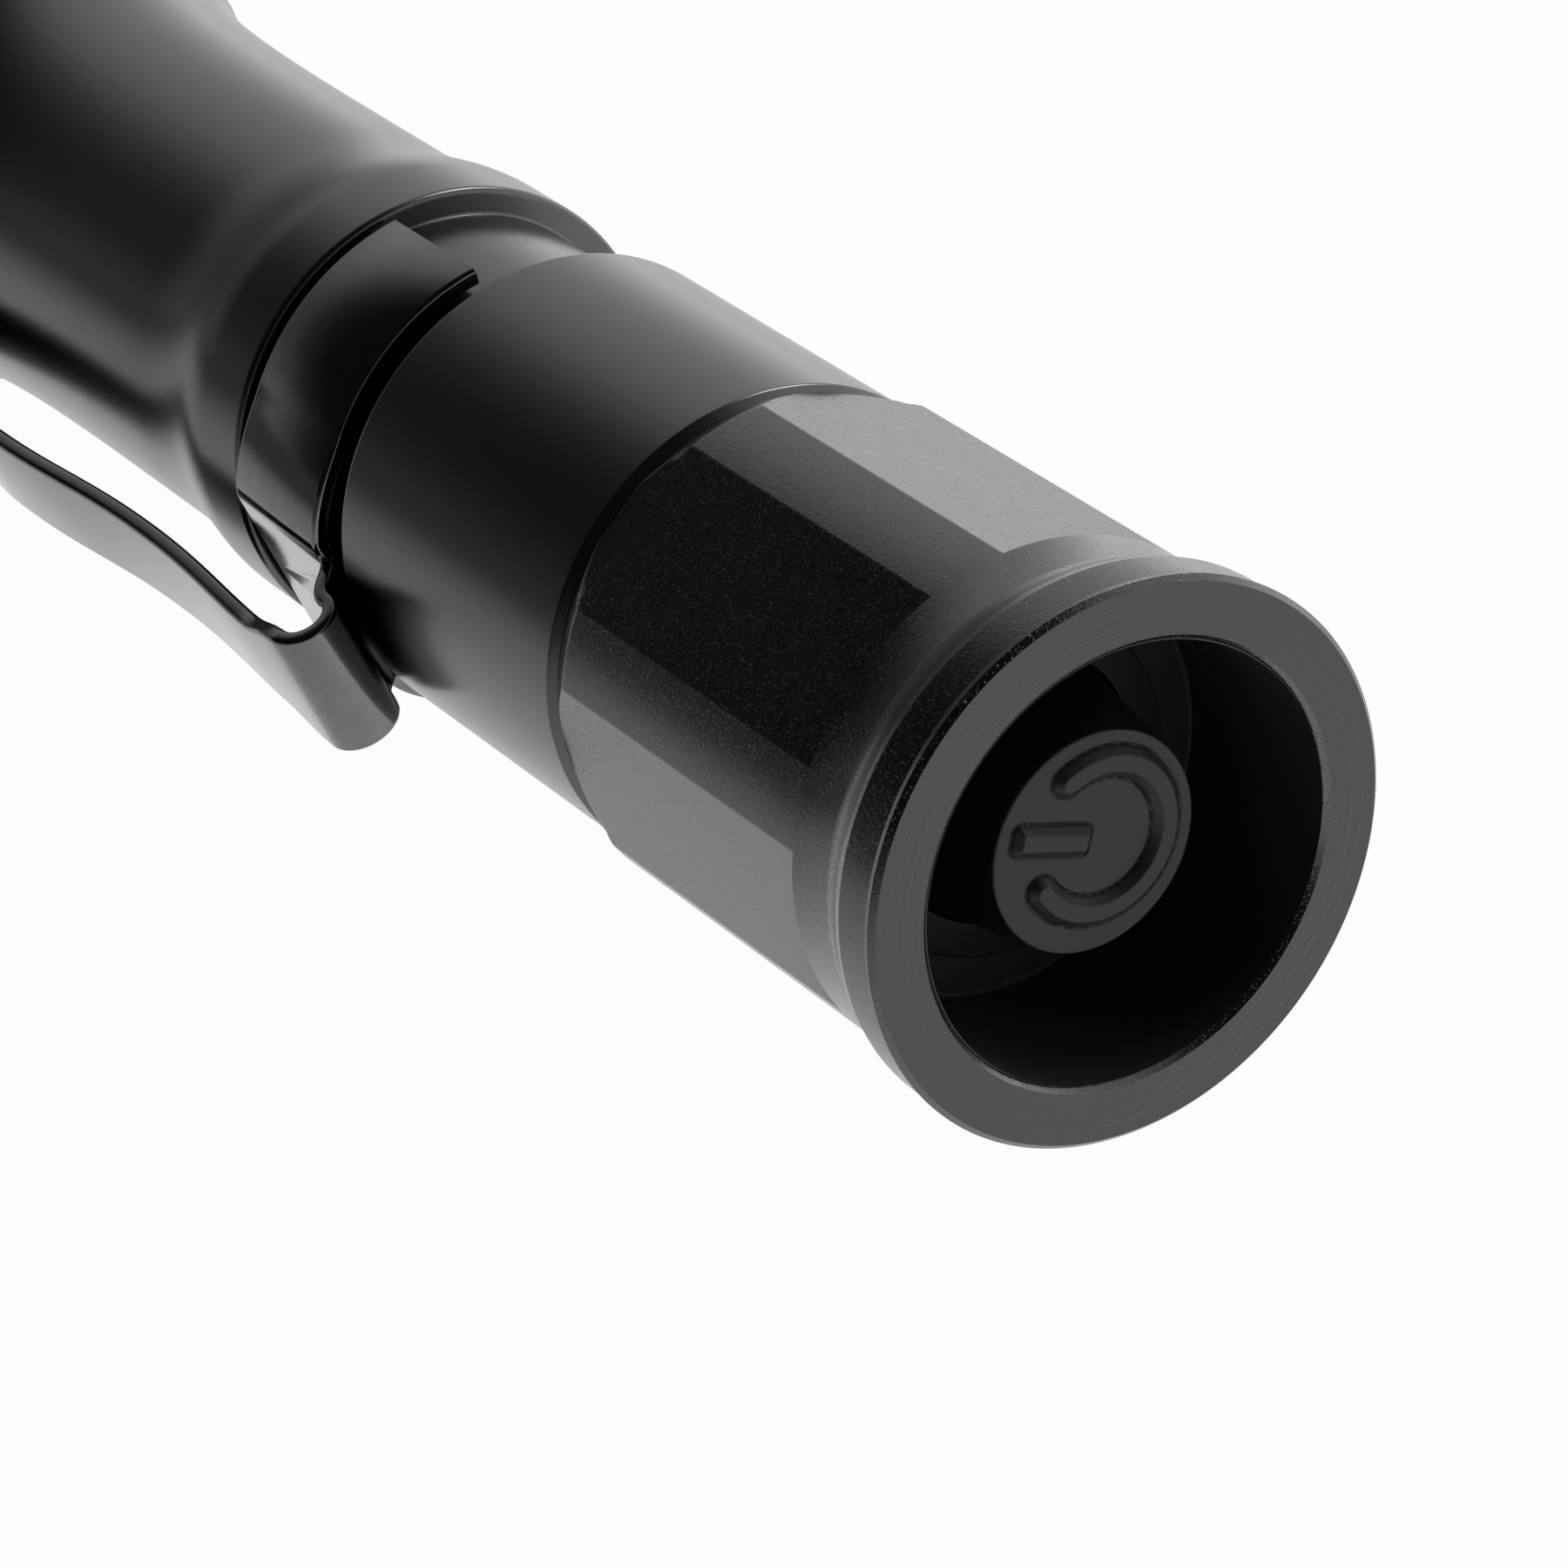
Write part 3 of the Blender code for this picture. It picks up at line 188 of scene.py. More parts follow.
def lathe(name, profile, turns, shape=None):
    """A turned piece from a closed profile of (place, radius), or an open one that ends on the axis."""
    builder = bmesh.new()
    rings = []
    for place, radius in profile:
        if radius < TINY:
            rings.append([builder.verts.new(spot(place, 0.0, 0.0))])
        else:
            rings.append([builder.verts.new(spot(place, shape(place, radius, t) if shape else radius, t))
                          for t in turns])
    pairs = list(zip(rings, rings[1:]))
    if len(rings[0]) > 1:
        pairs.append((rings[-1], rings[0]))
    count = len(turns)
    for a, b in pairs:
        for i in range(count):
            j = (i + 1) % count
            corners = [a[i % len(a)], a[j % len(a)], b[j % len(b)], b[i % len(b)]]
            loop = [v for k, v in enumerate(corners) if v is not corners[k - 1]]
            if len(loop) > 2:
                builder.faces.new(loop)
    return mesh_object(name, builder)


def dress(piece, body, look, slot, *nodes):
    """Give a piece its look and body, and hide the solids that it stands in for. The slot is not used."""
    piece.data.materials.clear()
    piece.data.materials.append(look)
    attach(piece, body)
    if nodes:
        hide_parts(*nodes)
    return piece


# Materials

def new_material(name):
    """A material with nodes, its node tree and its main shader."""
    made = bpy.data.materials.new(name)
    made.use_nodes = True
    tree = made.node_tree
    return made, tree, tree.nodes["Principled BSDF"]


def node(tree, kind, inputs=(), **settings):
    """A shader node; an input that is a socket is linked, and any other is set."""
    made = tree.nodes.new(kind)
    for key, value in settings.items():
        setattr(made, key, value)
    for key, value in dict(inputs).items():
        if isinstance(value, bpy.types.NodeSocket):
            tree.links.new(value, made.inputs[key])
        else:
            made.inputs[key].default_value = value
    return made


def noise(tree, scale, detail=2.0, rough=0.5):
    """Noise that stays fixed to its piece."""
    place = node(tree, "ShaderNodeTexCoord").outputs["Object"]
    return node(tree, "ShaderNodeTexNoise", {"Vector": place, "Scale": scale, "Detail": detail,
                                             "Roughness": rough}).outputs["Fac"]


def ramp(tree, value, low, high, start=0.0, end=1.0, kind="LINEAR"):
    """From low to high while the value goes from start to end, and level beyond."""
    return node(tree, "ShaderNodeMapRange", {"Value": value, "From Min": start, "From Max": end,
                                             "To Min": low, "To Max": high},
                interpolation_type=kind).outputs["Result"]


def colour_mix(tree, value, dark, light):
    """The dark colour where the value is 0 and the light one where it is 1."""
    mixed = node(tree, "ShaderNodeMix", data_type="RGBA")
    tree.links.new(value, mixed.inputs["Factor"])
    mixed.inputs["A"].default_value = (*dark, 1.0)
    mixed.inputs["B"].default_value = (*light, 1.0)
    return mixed.outputs["Result"]


BLACK_DARK, BLACK_LIGHT = (0.0016, 0.0016, 0.0016), (0.004, 0.0039, 0.0038)
BLAST_STRENGTH = 0.35
PATCH_SCALE, PATCH_SPREAD = 260.0, 0.005
FLECK_SCALE, FLECK_DEPTH, FLECK_FROM, FLECK_FULL = 9000.0, 0.011, 0.66, 0.76
RING_SCALE, RING_STRENGTH, RING_DEPTH = 3600.0, 0.5, 0.07
BLAST_FROM, BLAST_FULL = 0.35, 0.7
GRAIN_FROM, GRAIN_FULL, GRAIN_DEPTH = 0.3, 0.7, 0.02


def from_axis(tree):
    """The distance of a point from the light's axis, in metres."""
    place = node(tree, "ShaderNodeTexCoord").outputs["Object"]
    moved = node(tree, "ShaderNodeVectorMath", {0: place, 1: (0.0, -AXIS_Y * MM, -AXIS_Z * MM)},
                 operation="ADD").outputs["Vector"]
    flat = node(tree, "ShaderNodeVectorMath", {0: moved, 1: (0.0, 1.0, 1.0)},
                operation="MULTIPLY").outputs["Vector"]
    return node(tree, "ShaderNodeVectorMath", {0: flat}, operation="LENGTH").outputs["Value"]


def anodised(name, ior, rough, scale, grain, flecks=False, rings=False):
    """Bead-blasted black anodised aluminium; flecks add its sparkle and rings the lathe's marks."""
    made, tree, shader = new_material(name)
    shader.inputs["Metallic"].default_value = 0.0
    shader.inputs["IOR"].default_value = ior
    blast = noise(tree, scale, 3.0, 0.6)
    patch = noise(tree, PATCH_SCALE)
    share = ramp(tree, blast, 0.0, 1.0, BLAST_FROM, BLAST_FULL)
    colour = colour_mix(tree, share, BLACK_DARK, BLACK_LIGHT)
    tree.links.new(colour, shader.inputs["Base Color"])
    finish = ramp(tree, patch, rough - PATCH_SPREAD, rough + PATCH_SPREAD, GRAIN_FROM, GRAIN_FULL)
    tree.links.new(finish, shader.inputs["Roughness"])
    bump = node(tree, "ShaderNodeBump", {"Strength": BLAST_STRENGTH, "Distance": grain * MM,
                                         "Height": blast})
    normal = bump.outputs["Normal"]
    if flecks:
        fleck = ramp(tree, noise(tree, FLECK_SCALE, 0.0), 0.0, 1.0, FLECK_FROM, FLECK_FULL)
        pits = node(tree, "ShaderNodeBump", {"Strength": 1.0, "Distance": FLECK_DEPTH * MM,
                                             "Height": fleck, "Normal": normal})
        normal = pits.outputs["Normal"]
    if rings:
        line = node(tree, "ShaderNodeTexNoise", {"W": from_axis(tree), "Scale": RING_SCALE, "Detail": 2.0},
                    noise_dimensions="1D").outputs["Fac"]
        turned = node(tree, "ShaderNodeBump", {"Strength": RING_STRENGTH, "Distance": RING_DEPTH * MM,
                                               "Height": line, "Normal": normal})
        normal = turned.outputs["Normal"]
    tree.links.new(normal, shader.inputs["Normal"])
    return made


def plain(name, dark, light, rough, scale, metallic=0.0, ior=1.5, bump=0.1):
    """An opaque material whose colour and roughness vary with a fine grain."""
    made, tree, shader = new_material(name)
    shader.inputs["Metallic"].default_value = metallic
    shader.inputs["IOR"].default_value = ior
    grain = noise(tree, scale, 3.0, 0.6)
    share = ramp(tree, grain, 0.0, 1.0, GRAIN_FROM, GRAIN_FULL)
    tree.links.new(colour_mix(tree, share, dark, light), shader.inputs["Base Color"])
    finish = ramp(tree, grain, rough[0], rough[1], GRAIN_FROM, GRAIN_FULL)
    tree.links.new(finish, shader.inputs["Roughness"])
    if bump:
        height = node(tree, "ShaderNodeBump", {"Strength": bump, "Distance": GRAIN_DEPTH * MM,
                                               "Height": grain})
        tree.links.new(height.outputs["Normal"], shader.inputs["Normal"])
    return made


def clear(name, colour, rough, ior):
    """A material that lets light through."""
    made, tree, shader = new_material(name)
    shader.inputs["Base Color"].default_value = (*colour, 1.0)
    shader.inputs["Transmission Weight"].default_value = 1.0
    shader.inputs["IOR"].default_value = ior
    tree.links.new(ramp(tree, noise(tree, 900.0), rough, rough + 0.02), shader.inputs["Roughness"])
    return made


ANODISED = anodised("anodised_black", 2.0, 0.24, 9000.0, 0.012)
CAP_ANODISED = anodised("anodised_blasted", 2.0, 0.22, 4600.0, 0.03, flecks=True)
RIM_ANODISED = anodised("anodised_turned", 1.74, 0.23, 4600.0, 0.03, rings=True)
RUBBER = plain("boot_rubber", (0.008, 0.008, 0.008), (0.017, 0.017, 0.0175), (0.38, 0.5), 3600.0,
               ior=1.46, bump=0.6)
# Painted shade for the recess's wall and floor: a dull material that mirrors little, so the inside of the cap
# renders dark
RECESS_PAINTED_SHADE = plain("recess_painted_shade", (0.019, 0.019, 0.019), (0.027, 0.027, 0.027), (0.45, 0.55), 6000.0,
                     ior=1.4)
TRIM = plain("trim_satin", (0.011, 0.011, 0.011), (0.016, 0.016, 0.016), (0.35, 0.45), 3000.0, ior=1.3)
CLIP_STEEL = plain("clip_black_steel", (0.165, 0.165, 0.165), (0.19, 0.189, 0.187), (0.08, 0.12),
                   1400.0, metallic=1.0, bump=0.02)
STEEL = plain("nickel_steel", (0.5, 0.5, 0.48), (0.66, 0.66, 0.64), (0.22, 0.34), 2000.0, 1.0)
BRASS = plain("turned_brass", (0.55, 0.40, 0.16), (0.72, 0.55, 0.26), (0.25, 0.4), 2600.0, 1.0)
GOLD = plain("gold_plating", (0.78, 0.56, 0.22), (0.9, 0.68, 0.32), (0.18, 0.28), 2600.0, 1.0)
BOARD = plain("green_board", (0.02, 0.11, 0.05), (0.035, 0.17, 0.08), (0.35, 0.5), 1200.0)
STAR = plain("white_board", (0.66, 0.66, 0.63), (0.78, 0.78, 0.76), (0.35, 0.5), 1500.0)
WHITE = plain("white_plastic", (0.72, 0.72, 0.70), (0.80, 0.80, 0.78), (0.4, 0.55), 2400.0)
BLACK = plain("black_plastic", (0.016, 0.016, 0.016), (0.026, 0.026, 0.026), (0.4, 0.55), 2400.0)
FERRITE = plain("grey_ferrite", (0.08, 0.08, 0.08), (0.14, 0.14, 0.14), (0.6, 0.75), 3600.0, bump=0.4)
WRAP = plain("cell_wrap", (0.03, 0.15, 0.34), (0.05, 0.2, 0.42), (0.28, 0.38), 300.0)
RED = plain("red_wire", (0.5, 0.025, 0.025), (0.62, 0.035, 0.035), (0.4, 0.5), 2400.0)
SEAL = plain("seal_rubber", (0.012, 0.012, 0.012), (0.02, 0.02, 0.02), (0.35, 0.5), 3000.0)
MIRROR = plain("reflector_mirror", (0.88, 0.88, 0.88), (0.92, 0.92, 0.92), (0.08, 0.1), 500.0, 1.0, bump=0)
PHOSPHOR = plain("phosphor", (0.72, 0.60, 0.10), (0.86, 0.74, 0.16), (0.4, 0.5), 4200.0)
GLASS = clear("lens_glass", (0.97, 0.99, 0.99), 0.0, 1.5)
SILICONE = clear("clear_silicone", (0.98, 0.96, 0.85), 0.04, 1.41)


# Tail cap

cap_half = math.degrees(math.acos(CAP_FLAT_R / LAND_R))
flare = bezier((RIM_BAND + 0.16, BAND_R - 0.06), (RIM_BAND + 0.75, BAND_R - 0.28),
               (RIM_BAND + 1.35, LAND_R + 0.12), (FLARE_END, LAND_R), 14)
# The first and last of these points only steer the roundings beside them
rim = rounded([(0.001, RECESS_R, 0.0), (MOUTH_CHAMFER, RECESS_R, 0.05), (0.0, RECESS_R + MOUTH_CHAMFER, 0.06),
               (0.0, RIM_R - RIM_EDGE, 0.05), (RIM_EDGE, RIM_R, 0.06), (LIP_END, BAND_R, 0.12),
               (RIM_BAND - 0.05, BAND_R, 0.12), (RIM_BAND + 0.12, BAND_R - 0.05, 0.0)], 5)
cap_profile = rim[1:-1] + flare[1:]
# Close points keep the step at the flats' start sharp
cap_profile += [(FLAT_START - 0.3, LAND_R), (FLAT_START - 0.001, LAND_R), (FLAT_START, LAND_R),
                (FLAT_START + 0.06, LAND_R)]
taper = [(CAP_TAPER_AT + along, LAND_R + (CAP_END_R - LAND_R) * along / CAP_TAPER_L)
         for along in [0.1 * i for i in range(6, 15)] + [1.45]]
cap_profile += rounded([(20.0, LAND_R, 0.0), (CAP_TAPER_AT, LAND_R, 0.5), (*taper[0], 0.0)], 4)
cap_profile += taper[1:-1]
cap_profile += rounded([(*taper[-1], 0.0), (CAP_L, CAP_END_R, 0.05), (CAP_L, CAP_BORE_R, 0.1),
                        (CAP_STEP_AT, CAP_BORE_R, 0.0)], 3)
cap_profile += rounded([(CAP_STEP_AT, POCKET_R, 0.0), (WEB_AT, POCKET_R, 0.0),
                        (WEB_AT, TRIM_IN_R, 0.0), (RECESS_DEPTH, TRIM_IN_R, 0.0),
                        (RECESS_DEPTH, RECESS_R, 0.2), (5.0, RECESS_R, 0.0)], 3)
cap = lathe("tail_cap_shell", cap_profile, columns(600, CAP_FLAT_TURN, cap_half),
            flats(CAP_FLAT_R, CAP_FLAT_TURN, FLAT_START))
dress(cap, "tail_cap", CAP_ANODISED, "anodised", "tail_cap")
cap.data.materials.append(RIM_ANODISED)
cap.data.materials.append(RECESS_PAINTED_SHADE)
# The rim's face has a look of its own; the recess's wall and floor get a painted shade, a dull material that
# mirrors little, so they render darker than the cap's outside
RIM_SLOT, RECESS_SHADE_SLOT = 1, 2
for face in cap.data.polygons:
    place = face.center.x / MM - TAIL_X
    radius = math.hypot(face.center.y / MM - AXIS_Y, face.center.z / MM - AXIS_Z)
    if face.normal.x < -0.9 and place < 0.1:
        face.material_index = RIM_SLOT
    elif MOUTH_CHAMFER + 0.03 < place < WEB_AT + 0.1 and radius < RECESS_R + 0.01:
        face.material_index = RECESS_SHADE_SLOT

trim = lathe("recess_trim_ring",
             rounded([(TRIM_END, TRIM_IN_R, 0.0), (TRIM_AT, TRIM_IN_R, 0.1), (TRIM_AT, TRIM_OUT_R, 0.1),
                      (TRIM_END, TRIM_OUT_R, 0.0)], 3), columns(120))
dress(trim, "tail_cap", TRIM, "trim", "button_trim_ring")


# Tail button with its raised power symbol

def symbol_height(radius, turn):
    """How far the symbol stands out here: strokes with sloped sides, and a fine line sunk round them."""
    away = math.radians(turn - SYMBOL_TURN)
    along, across = radius * math.cos(away), radius * math.sin(away)
    x, y = along - SYMBOL_MIDDLE[0], across - SYMBOL_MIDDLE[1]
    if abs(math.degrees(math.atan2(y, x))) > SYMBOL_OPEN:
        arc = abs(math.hypot(x, y) - SYMBOL_R)
    else:
        end = math.radians(SYMBOL_OPEN)
        arc = math.hypot(x - SYMBOL_R * math.cos(end), abs(y) - SYMBOL_R * math.sin(end))
    x = abs(along - (BAR_START + BAR_END) / 2) - (BAR_END - BAR_START) / 2 + BAR_CORNER
    y = abs(across - BAR_ACROSS) - SYMBOL_HALF + BAR_CORNER
    bar = math.hypot(max(x, 0.0), max(y, 0.0)) + min(max(x, y), 0.0) - BAR_CORNER
    inside = max(SYMBOL_HALF - arc, -bar)
    moat = MOAT_DEPTH * max(0.0, 1.0 - abs(inside + MOAT_OUT) / MOAT_HALF)
    return SYMBOL_H * min(1.0, max(0.0, inside / SYMBOL_SLOPE)) - moat


def make_button():
    """The boot with its symbol: a grid of rings over the top, then the side, the flange and the hollow."""
    builder = bmesh.new()
    turns = columns(360)
    rings = [[builder.verts.new(spot(BUTTON_AT - symbol_height(0.0, 0.0), 0.0, 0.0))]]
    edge_r = BUTTON_R - BUTTON_EDGE
    radii = [BUTTON_STEP * i for i in range(1, int(edge_r / BUTTON_STEP) + 1)]
    for radius in radii:
        rings.append([builder.verts.new(spot(BUTTON_AT - symbol_height(radius, t), radius, t))
                      for t in turns])
    side = rounded([(BUTTON_AT, radii[-1], 0.0), (BUTTON_AT, BUTTON_R, BUTTON_EDGE),
                    (TRIM_AT, BUTTON_BASE_R, 0.0)], 6)
    hollow_r, hollow_at = BUTTON_BASE_R - BUTTON_WALL, BUTTON_AT + BUTTON_TOP_WALL
    side += [(FLANGE_AT, BUTTON_BASE_R), (FLANGE_AT, FLANGE_R), (FLANGE_END, FLANGE_R),
             (FLANGE_END, hollow_r), (hollow_at, hollow_r)]
    for place, radius in side[1:]:
        rings.append([builder.verts.new(spot(place, radius, t)) for t in turns])
    rings.append([builder.verts.new(spot(hollow_at, 0.0, 0.0))])
    for a, b in zip(rings, rings[1:]):
        for i in range(len(turns)):
            j = (i + 1) % len(turns)
            corners = [a[i % len(a)], a[j % len(a)], b[j % len(b)], b[i % len(b)]]
            builder.faces.new([v for k, v in enumerate(corners) if v is not corners[k - 1]])
    return mesh_object("boot_button", builder, 40.0, 40.0)


dress(make_button(), "button", RUBBER, "boot_rubber", "tail_button")


# Tube and head

head_flats = flats(HEAD_FLAT_R, 0.0, HEAD_AT - FLAT_RUNOUT)
head_half = math.degrees(math.acos(HEAD_FLAT_R / HEAD_R))
thread_at, thread_end = TUBE_TAIL + THREAD_EDGE, SEAL_BACK - THREAD_END_GAP


def tube_shape(place, radius, turn):
    """The thread's helix on the tube's end, and the anti-roll flats on the head."""
    if thread_at < place < thread_end and abs(radius - THREAD_R) < TINY:
        phase = ((place - TUBE_TAIL) / THREAD_PITCH - turn / 360) % 1.0
        crest = abs(phase * 2 - 1)
        ease = min(1.0, (place - thread_at) / THREAD_EASE, (thread_end - place) / THREAD_EASE)
        return radius - THREAD_DEPTH * min(1.0, max(0.0, crest * 1.5 - 0.25)) * ease
    return head_flats(place, radius, turn)


body_profile = rounded([(TUBE_TAIL, BORE_R, 0.0), (TUBE_TAIL, THREAD_R - THREAD_EDGE, 0.1),
                        (thread_at, THREAD_R, 0.0)], 2)
thread_l = SEAL_BACK - TUBE_TAIL - THREAD_SPARE
thread_steps = int(thread_l / THREAD_STEP)
body_profile += [(thread_at + THREAD_FIRST + thread_l * i / thread_steps, THREAD_R)
                 for i in range(thread_steps)]
body_profile += rounded([(SEAL_BACK - 0.1, THREAD_R, 0.0), (SEAL_BACK, THREAD_R, 0.06),
                         (SEAL_BACK, SEAL_FLOOR_R, 0.1), (SEAL_FRONT, SEAL_FLOOR_R, 0.1),
                         (SEAL_FRONT, THREAD_R, 0.06), (TUBE_AT, THREAD_R, 0.1),
                         (TUBE_AT, TUBE_R - TUBE_CHAMFER, 0.06),
                         (TUBE_AT + TUBE_CHAMFER, TUBE_R, 0.2), (GROOVE_AT, TUBE_R, 0.22),
                         (GROOVE_AT, GROOVE_R, 0.15), (GROOVE_END, GROOVE_R, 0.15),
                         (GROOVE_END, SHOULDER_R, 0.3), (GROOVE_END + 2.0, SHOULDER_R, 0.0)], 4)
fall_l = WAIST_AT - SHOULDER_END
flare_l = HEAD_AT - WAIST_END
body_profile += bezier((SHOULDER_END, SHOULDER_R), (SHOULDER_END + fall_l * 0.32, SHOULDER_R),
                       (SHOULDER_END + fall_l * 0.4, WAIST_R), (WAIST_AT, WAIST_R), 28)
body_profile += bezier((WAIST_END, WAIST_R), (WAIST_END + flare_l * 0.7, WAIST_R),
                       (WAIST_END + flare_l * 0.79, WAIST_R + (HEAD_R - WAIST_R) * 0.24),
                       (HEAD_AT, HEAD_R - HEAD_CHAMFER), 34)
head = [(HEAD_AT, HEAD_R - HEAD_CHAMFER, 0.0), (HEAD_AT + HEAD_CHAMFER, HEAD_R, 0.25)]
for i in range(FIN_COUNT):
    fin = HEAD_AT + FIN_START + FIN_PITCH * i
    head += [(fin, HEAD_R, 0.15), (fin, HEAD_R - FIN_DEPTH, 0.3),
             (fin + FIN_GAP, HEAD_R - FIN_DEPTH, 0.3), (fin + FIN_GAP, HEAD_R, 0.15)]
head += [(HEAD_END - HEAD_CHAMFER, HEAD_R, 0.2), (HEAD_END, HEAD_R - HEAD_CHAMFER, 0.2),
         (HEAD_END, STUB_R, 0.15), (STUB_END, STUB_R, 0.15), (STUB_END, HEAD_BORE_R, 0.1),
         (SHELF_END, HEAD_BORE_R, 0.0), (SHELF_END, 0.0, 0.0)]
body_profile += rounded(head, 4)[1:]
# The inside and the outside are two lines that both start on the axis, so the shelf is solid
body_back = [(SHELF_AT, 0.0), (SHELF_AT, LEDGE_R), (LEDGE_AT, LEDGE_R), (LEDGE_AT, BORE_R)]
body = lathe("body_tube_shell", body_back + body_profile, columns(180, 0.0, head_half), tube_shape)
dress(body, "light", ANODISED, "anodised", "body_tube")

seal_mid = (SEAL_BACK + SEAL_FRONT) / 2
seal_r = SEAL_FLOOR_R + SEAL_CLEAR + SEAL_SECTION / 2
seal_line = [(seal_mid + SEAL_SECTION / 2 * math.cos(math.radians(a)),
              seal_r + SEAL_SECTION / 2 * math.sin(math.radians(a))) for a in range(0, 360, 24)]
dress(lathe("cap_seal_ring", seal_line, columns(120)), "cap_seal", SEAL, "boot_rubber", "tail_o_ring")


# Bezel, lens and reflector

bezel_groove = BEZEL_AT + BEZEL_L * 0.55
bezel_profile = rounded([(BEZEL_AT, STUB_R + BEZEL_CLEAR, 0.0), (BEZEL_AT, BEZEL_R - BEZEL_EDGE, 0.1),
                         (BEZEL_AT + BEZEL_EDGE, BEZEL_R, 0.2), (bezel_groove, BEZEL_R, 0.1),
                         (bezel_groove + BEZEL_GROOVE / 2, BEZEL_R - BEZEL_GROOVE / 2, 0.1),
                         (bezel_groove + BEZEL_GROOVE, BEZEL_R, 0.1),
                         (FRONT - BEZEL_CHAMFER, BEZEL_R, 0.25), (FRONT, BEZEL_R - BEZEL_CHAMFER, 0.15),
                         (FRONT, BEZEL_OPENING_R + BEZEL_LIP * 0.7, 0.12),
                         (FRONT - BEZEL_LIP, BEZEL_OPENING_R, 0.08),
                         (FRONT - BEZEL_LIP, STUB_R + BEZEL_CLEAR, 0.0)], 4)
dress(lathe("bezel_ring", bezel_profile, columns(180)), "light", ANODISED, "anodised", "bezel")

lens_r = HEAD_BORE_R - LENS_CLEAR
lens_line = rounded([(LENS_AT, 0.0, 0.0), (LENS_AT, lens_r, 0.18), (LENS_END, lens_r, 0.18),
                     (LENS_END, 0.0, 0.0)], 3)
dress(lathe("lens_disc", lens_line, columns(120)), "light", GLASS, "lens", "lens")

bowl_r = lens_r - REFLECTOR_FLANGE


def bowl(share):
    """A point of the parabola at this share of the way from the hole's radius to the mouth's."""
    radius = REFLECTOR_HOLE_R + (bowl_r - REFLECTOR_HOLE_R) * share
    rise = (radius ** 2 - REFLECTOR_HOLE_R ** 2) / (bowl_r ** 2 - REFLECTOR_HOLE_R ** 2)
    return REFLECTOR_AT + (REFLECTOR_END - REFLECTOR_AT) * rise, radius


bowl_line = [bowl(i / 40) for i in range(41)]
flange_at = REFLECTOR_END - REFLECTOR_FLANGE_T
bowl_line += [(REFLECTOR_END, lens_r), (flange_at, lens_r), (flange_at, bowl_r + 0.15)]
for i in range(19, 0, -1):
    x, radius = bowl(i / 20)
    bowl_line.append((x, radius + REFLECTOR_WALL))
bowl_line.append((REFLECTOR_AT, REFLECTOR_HOLE_R + REFLECTOR_WALL))
dress(lathe("reflector_bowl", bowl_line, columns(144)), "light", MIRROR, "reflector", "reflector")


# Pocket clip

def clip_spot(place, out, across):
    """A point by its distance out from the axis towards the arm, and across that way."""
    turn = math.radians(CLIP_TURN)
    y = out * math.sin(turn) + across * math.cos(turn)
    z = out * math.cos(turn) - across * math.sin(turn)
    return Vector((TAIL_X + place, AXIS_Y + y, AXIS_Z + z)) * MM


def section(half_w, half_t, edge, steps):
    """A rounded rectangle as (across, thickness) points."""
    points = []
    for side_w, side_t, start in ((1, 1, 0), (-1, 1, 90), (-1, -1, 180), (1, -1, 270)):
        for i in range(steps + 1):
            angle = math.radians(start + 90 * i / steps)
            points.append((side_w * (half_w - edge) + edge * math.cos(angle),
                           side_t * (half_t - edge) + edge * math.sin(angle)))
    return points


def stations_along(points, half_widths, half_t):
    """The stations of a band along these points: middle, normal, half width and half thickness."""
    stations = []
    last = len(points) - 1
    for i, (middle, half_w) in enumerate(zip(points, half_widths)):
        way = (points[min(i + 1, last)] - points[max(i - 1, 0)]).normalized()
        stations.append((middle, Vector((-way.y, way.x)), half_w, half_t))
    return stations


def sweep(name, stations, put):
    """A band with rounded edges through its stations; put() turns a station's own place into a point."""
    builder = bmesh.new()
    rows = []
    for middle, normal, half_w, half_t in stations:
        edge = min(0.6 * half_t, half_w * 0.45)
        rows.append([builder.verts.new(put(middle, normal, w, t))
                     for w, t in section(half_w, half_t, edge, 5)])
    for a, b in zip(rows, rows[1:]):
        for i in range(len(a)):
            j = (i + 1) % len(a)
            builder.faces.new((a[i], a[j], b[j], b[i]))
    builder.faces.new(rows[0])
    builder.faces.new(rows[-1][::-1])
    return mesh_object(name, builder, 40.0, 40.0)


def smooth(share):
    """An S-shaped share, level at 0 and at 1."""
    return share * share * (3 - 2 * share)


def clip_ring():
    """The open ring: a flat seat under the arm, a crease at each end of it, and the round."""
    flat_mid = GROOVE_R + CLIP_FLAT_GAP + CLIP_RING_T / 2
    round_mid = GROOVE_R + CLIP_RING_GAP + CLIP_RING_T / 2
    crease = math.degrees(math.atan2(CLIP_FLAT, flat_mid))
    crease_r = math.hypot(CLIP_FLAT, flat_mid)
    last = 180 - CLIP_MOUTH
    half = []
    steps = 48
    for i in range(steps + 1):
        turn = crease + (last - crease) * i / steps
        ease = smooth(min(1.0, (turn - crease) / CLIP_EASE))
        half.append((turn, crease_r + (round_mid - crease_r) * ease))
    flat = [(math.degrees(math.atan2(w, flat_mid)), math.hypot(w, flat_mid)) for w in CLIP_SEAT]
    line = [(-t, r) for t, r in reversed(half)] + flat + half
    points = [Vector((r * math.sin(math.radians(t)), r * math.cos(math.radians(t)))) for t, r in line]
    stations = stations_along(points, [CLIP_RING_L / 2] * len(points), CLIP_RING_T / 2)

    def put(middle, normal, w, t):
        return clip_spot(CLIP_RING_AT + CLIP_RING_L / 2 + w, middle.y + normal.y * t,
                         middle.x + normal.x * t)
    return sweep("pocket_clip_band", stations, put)


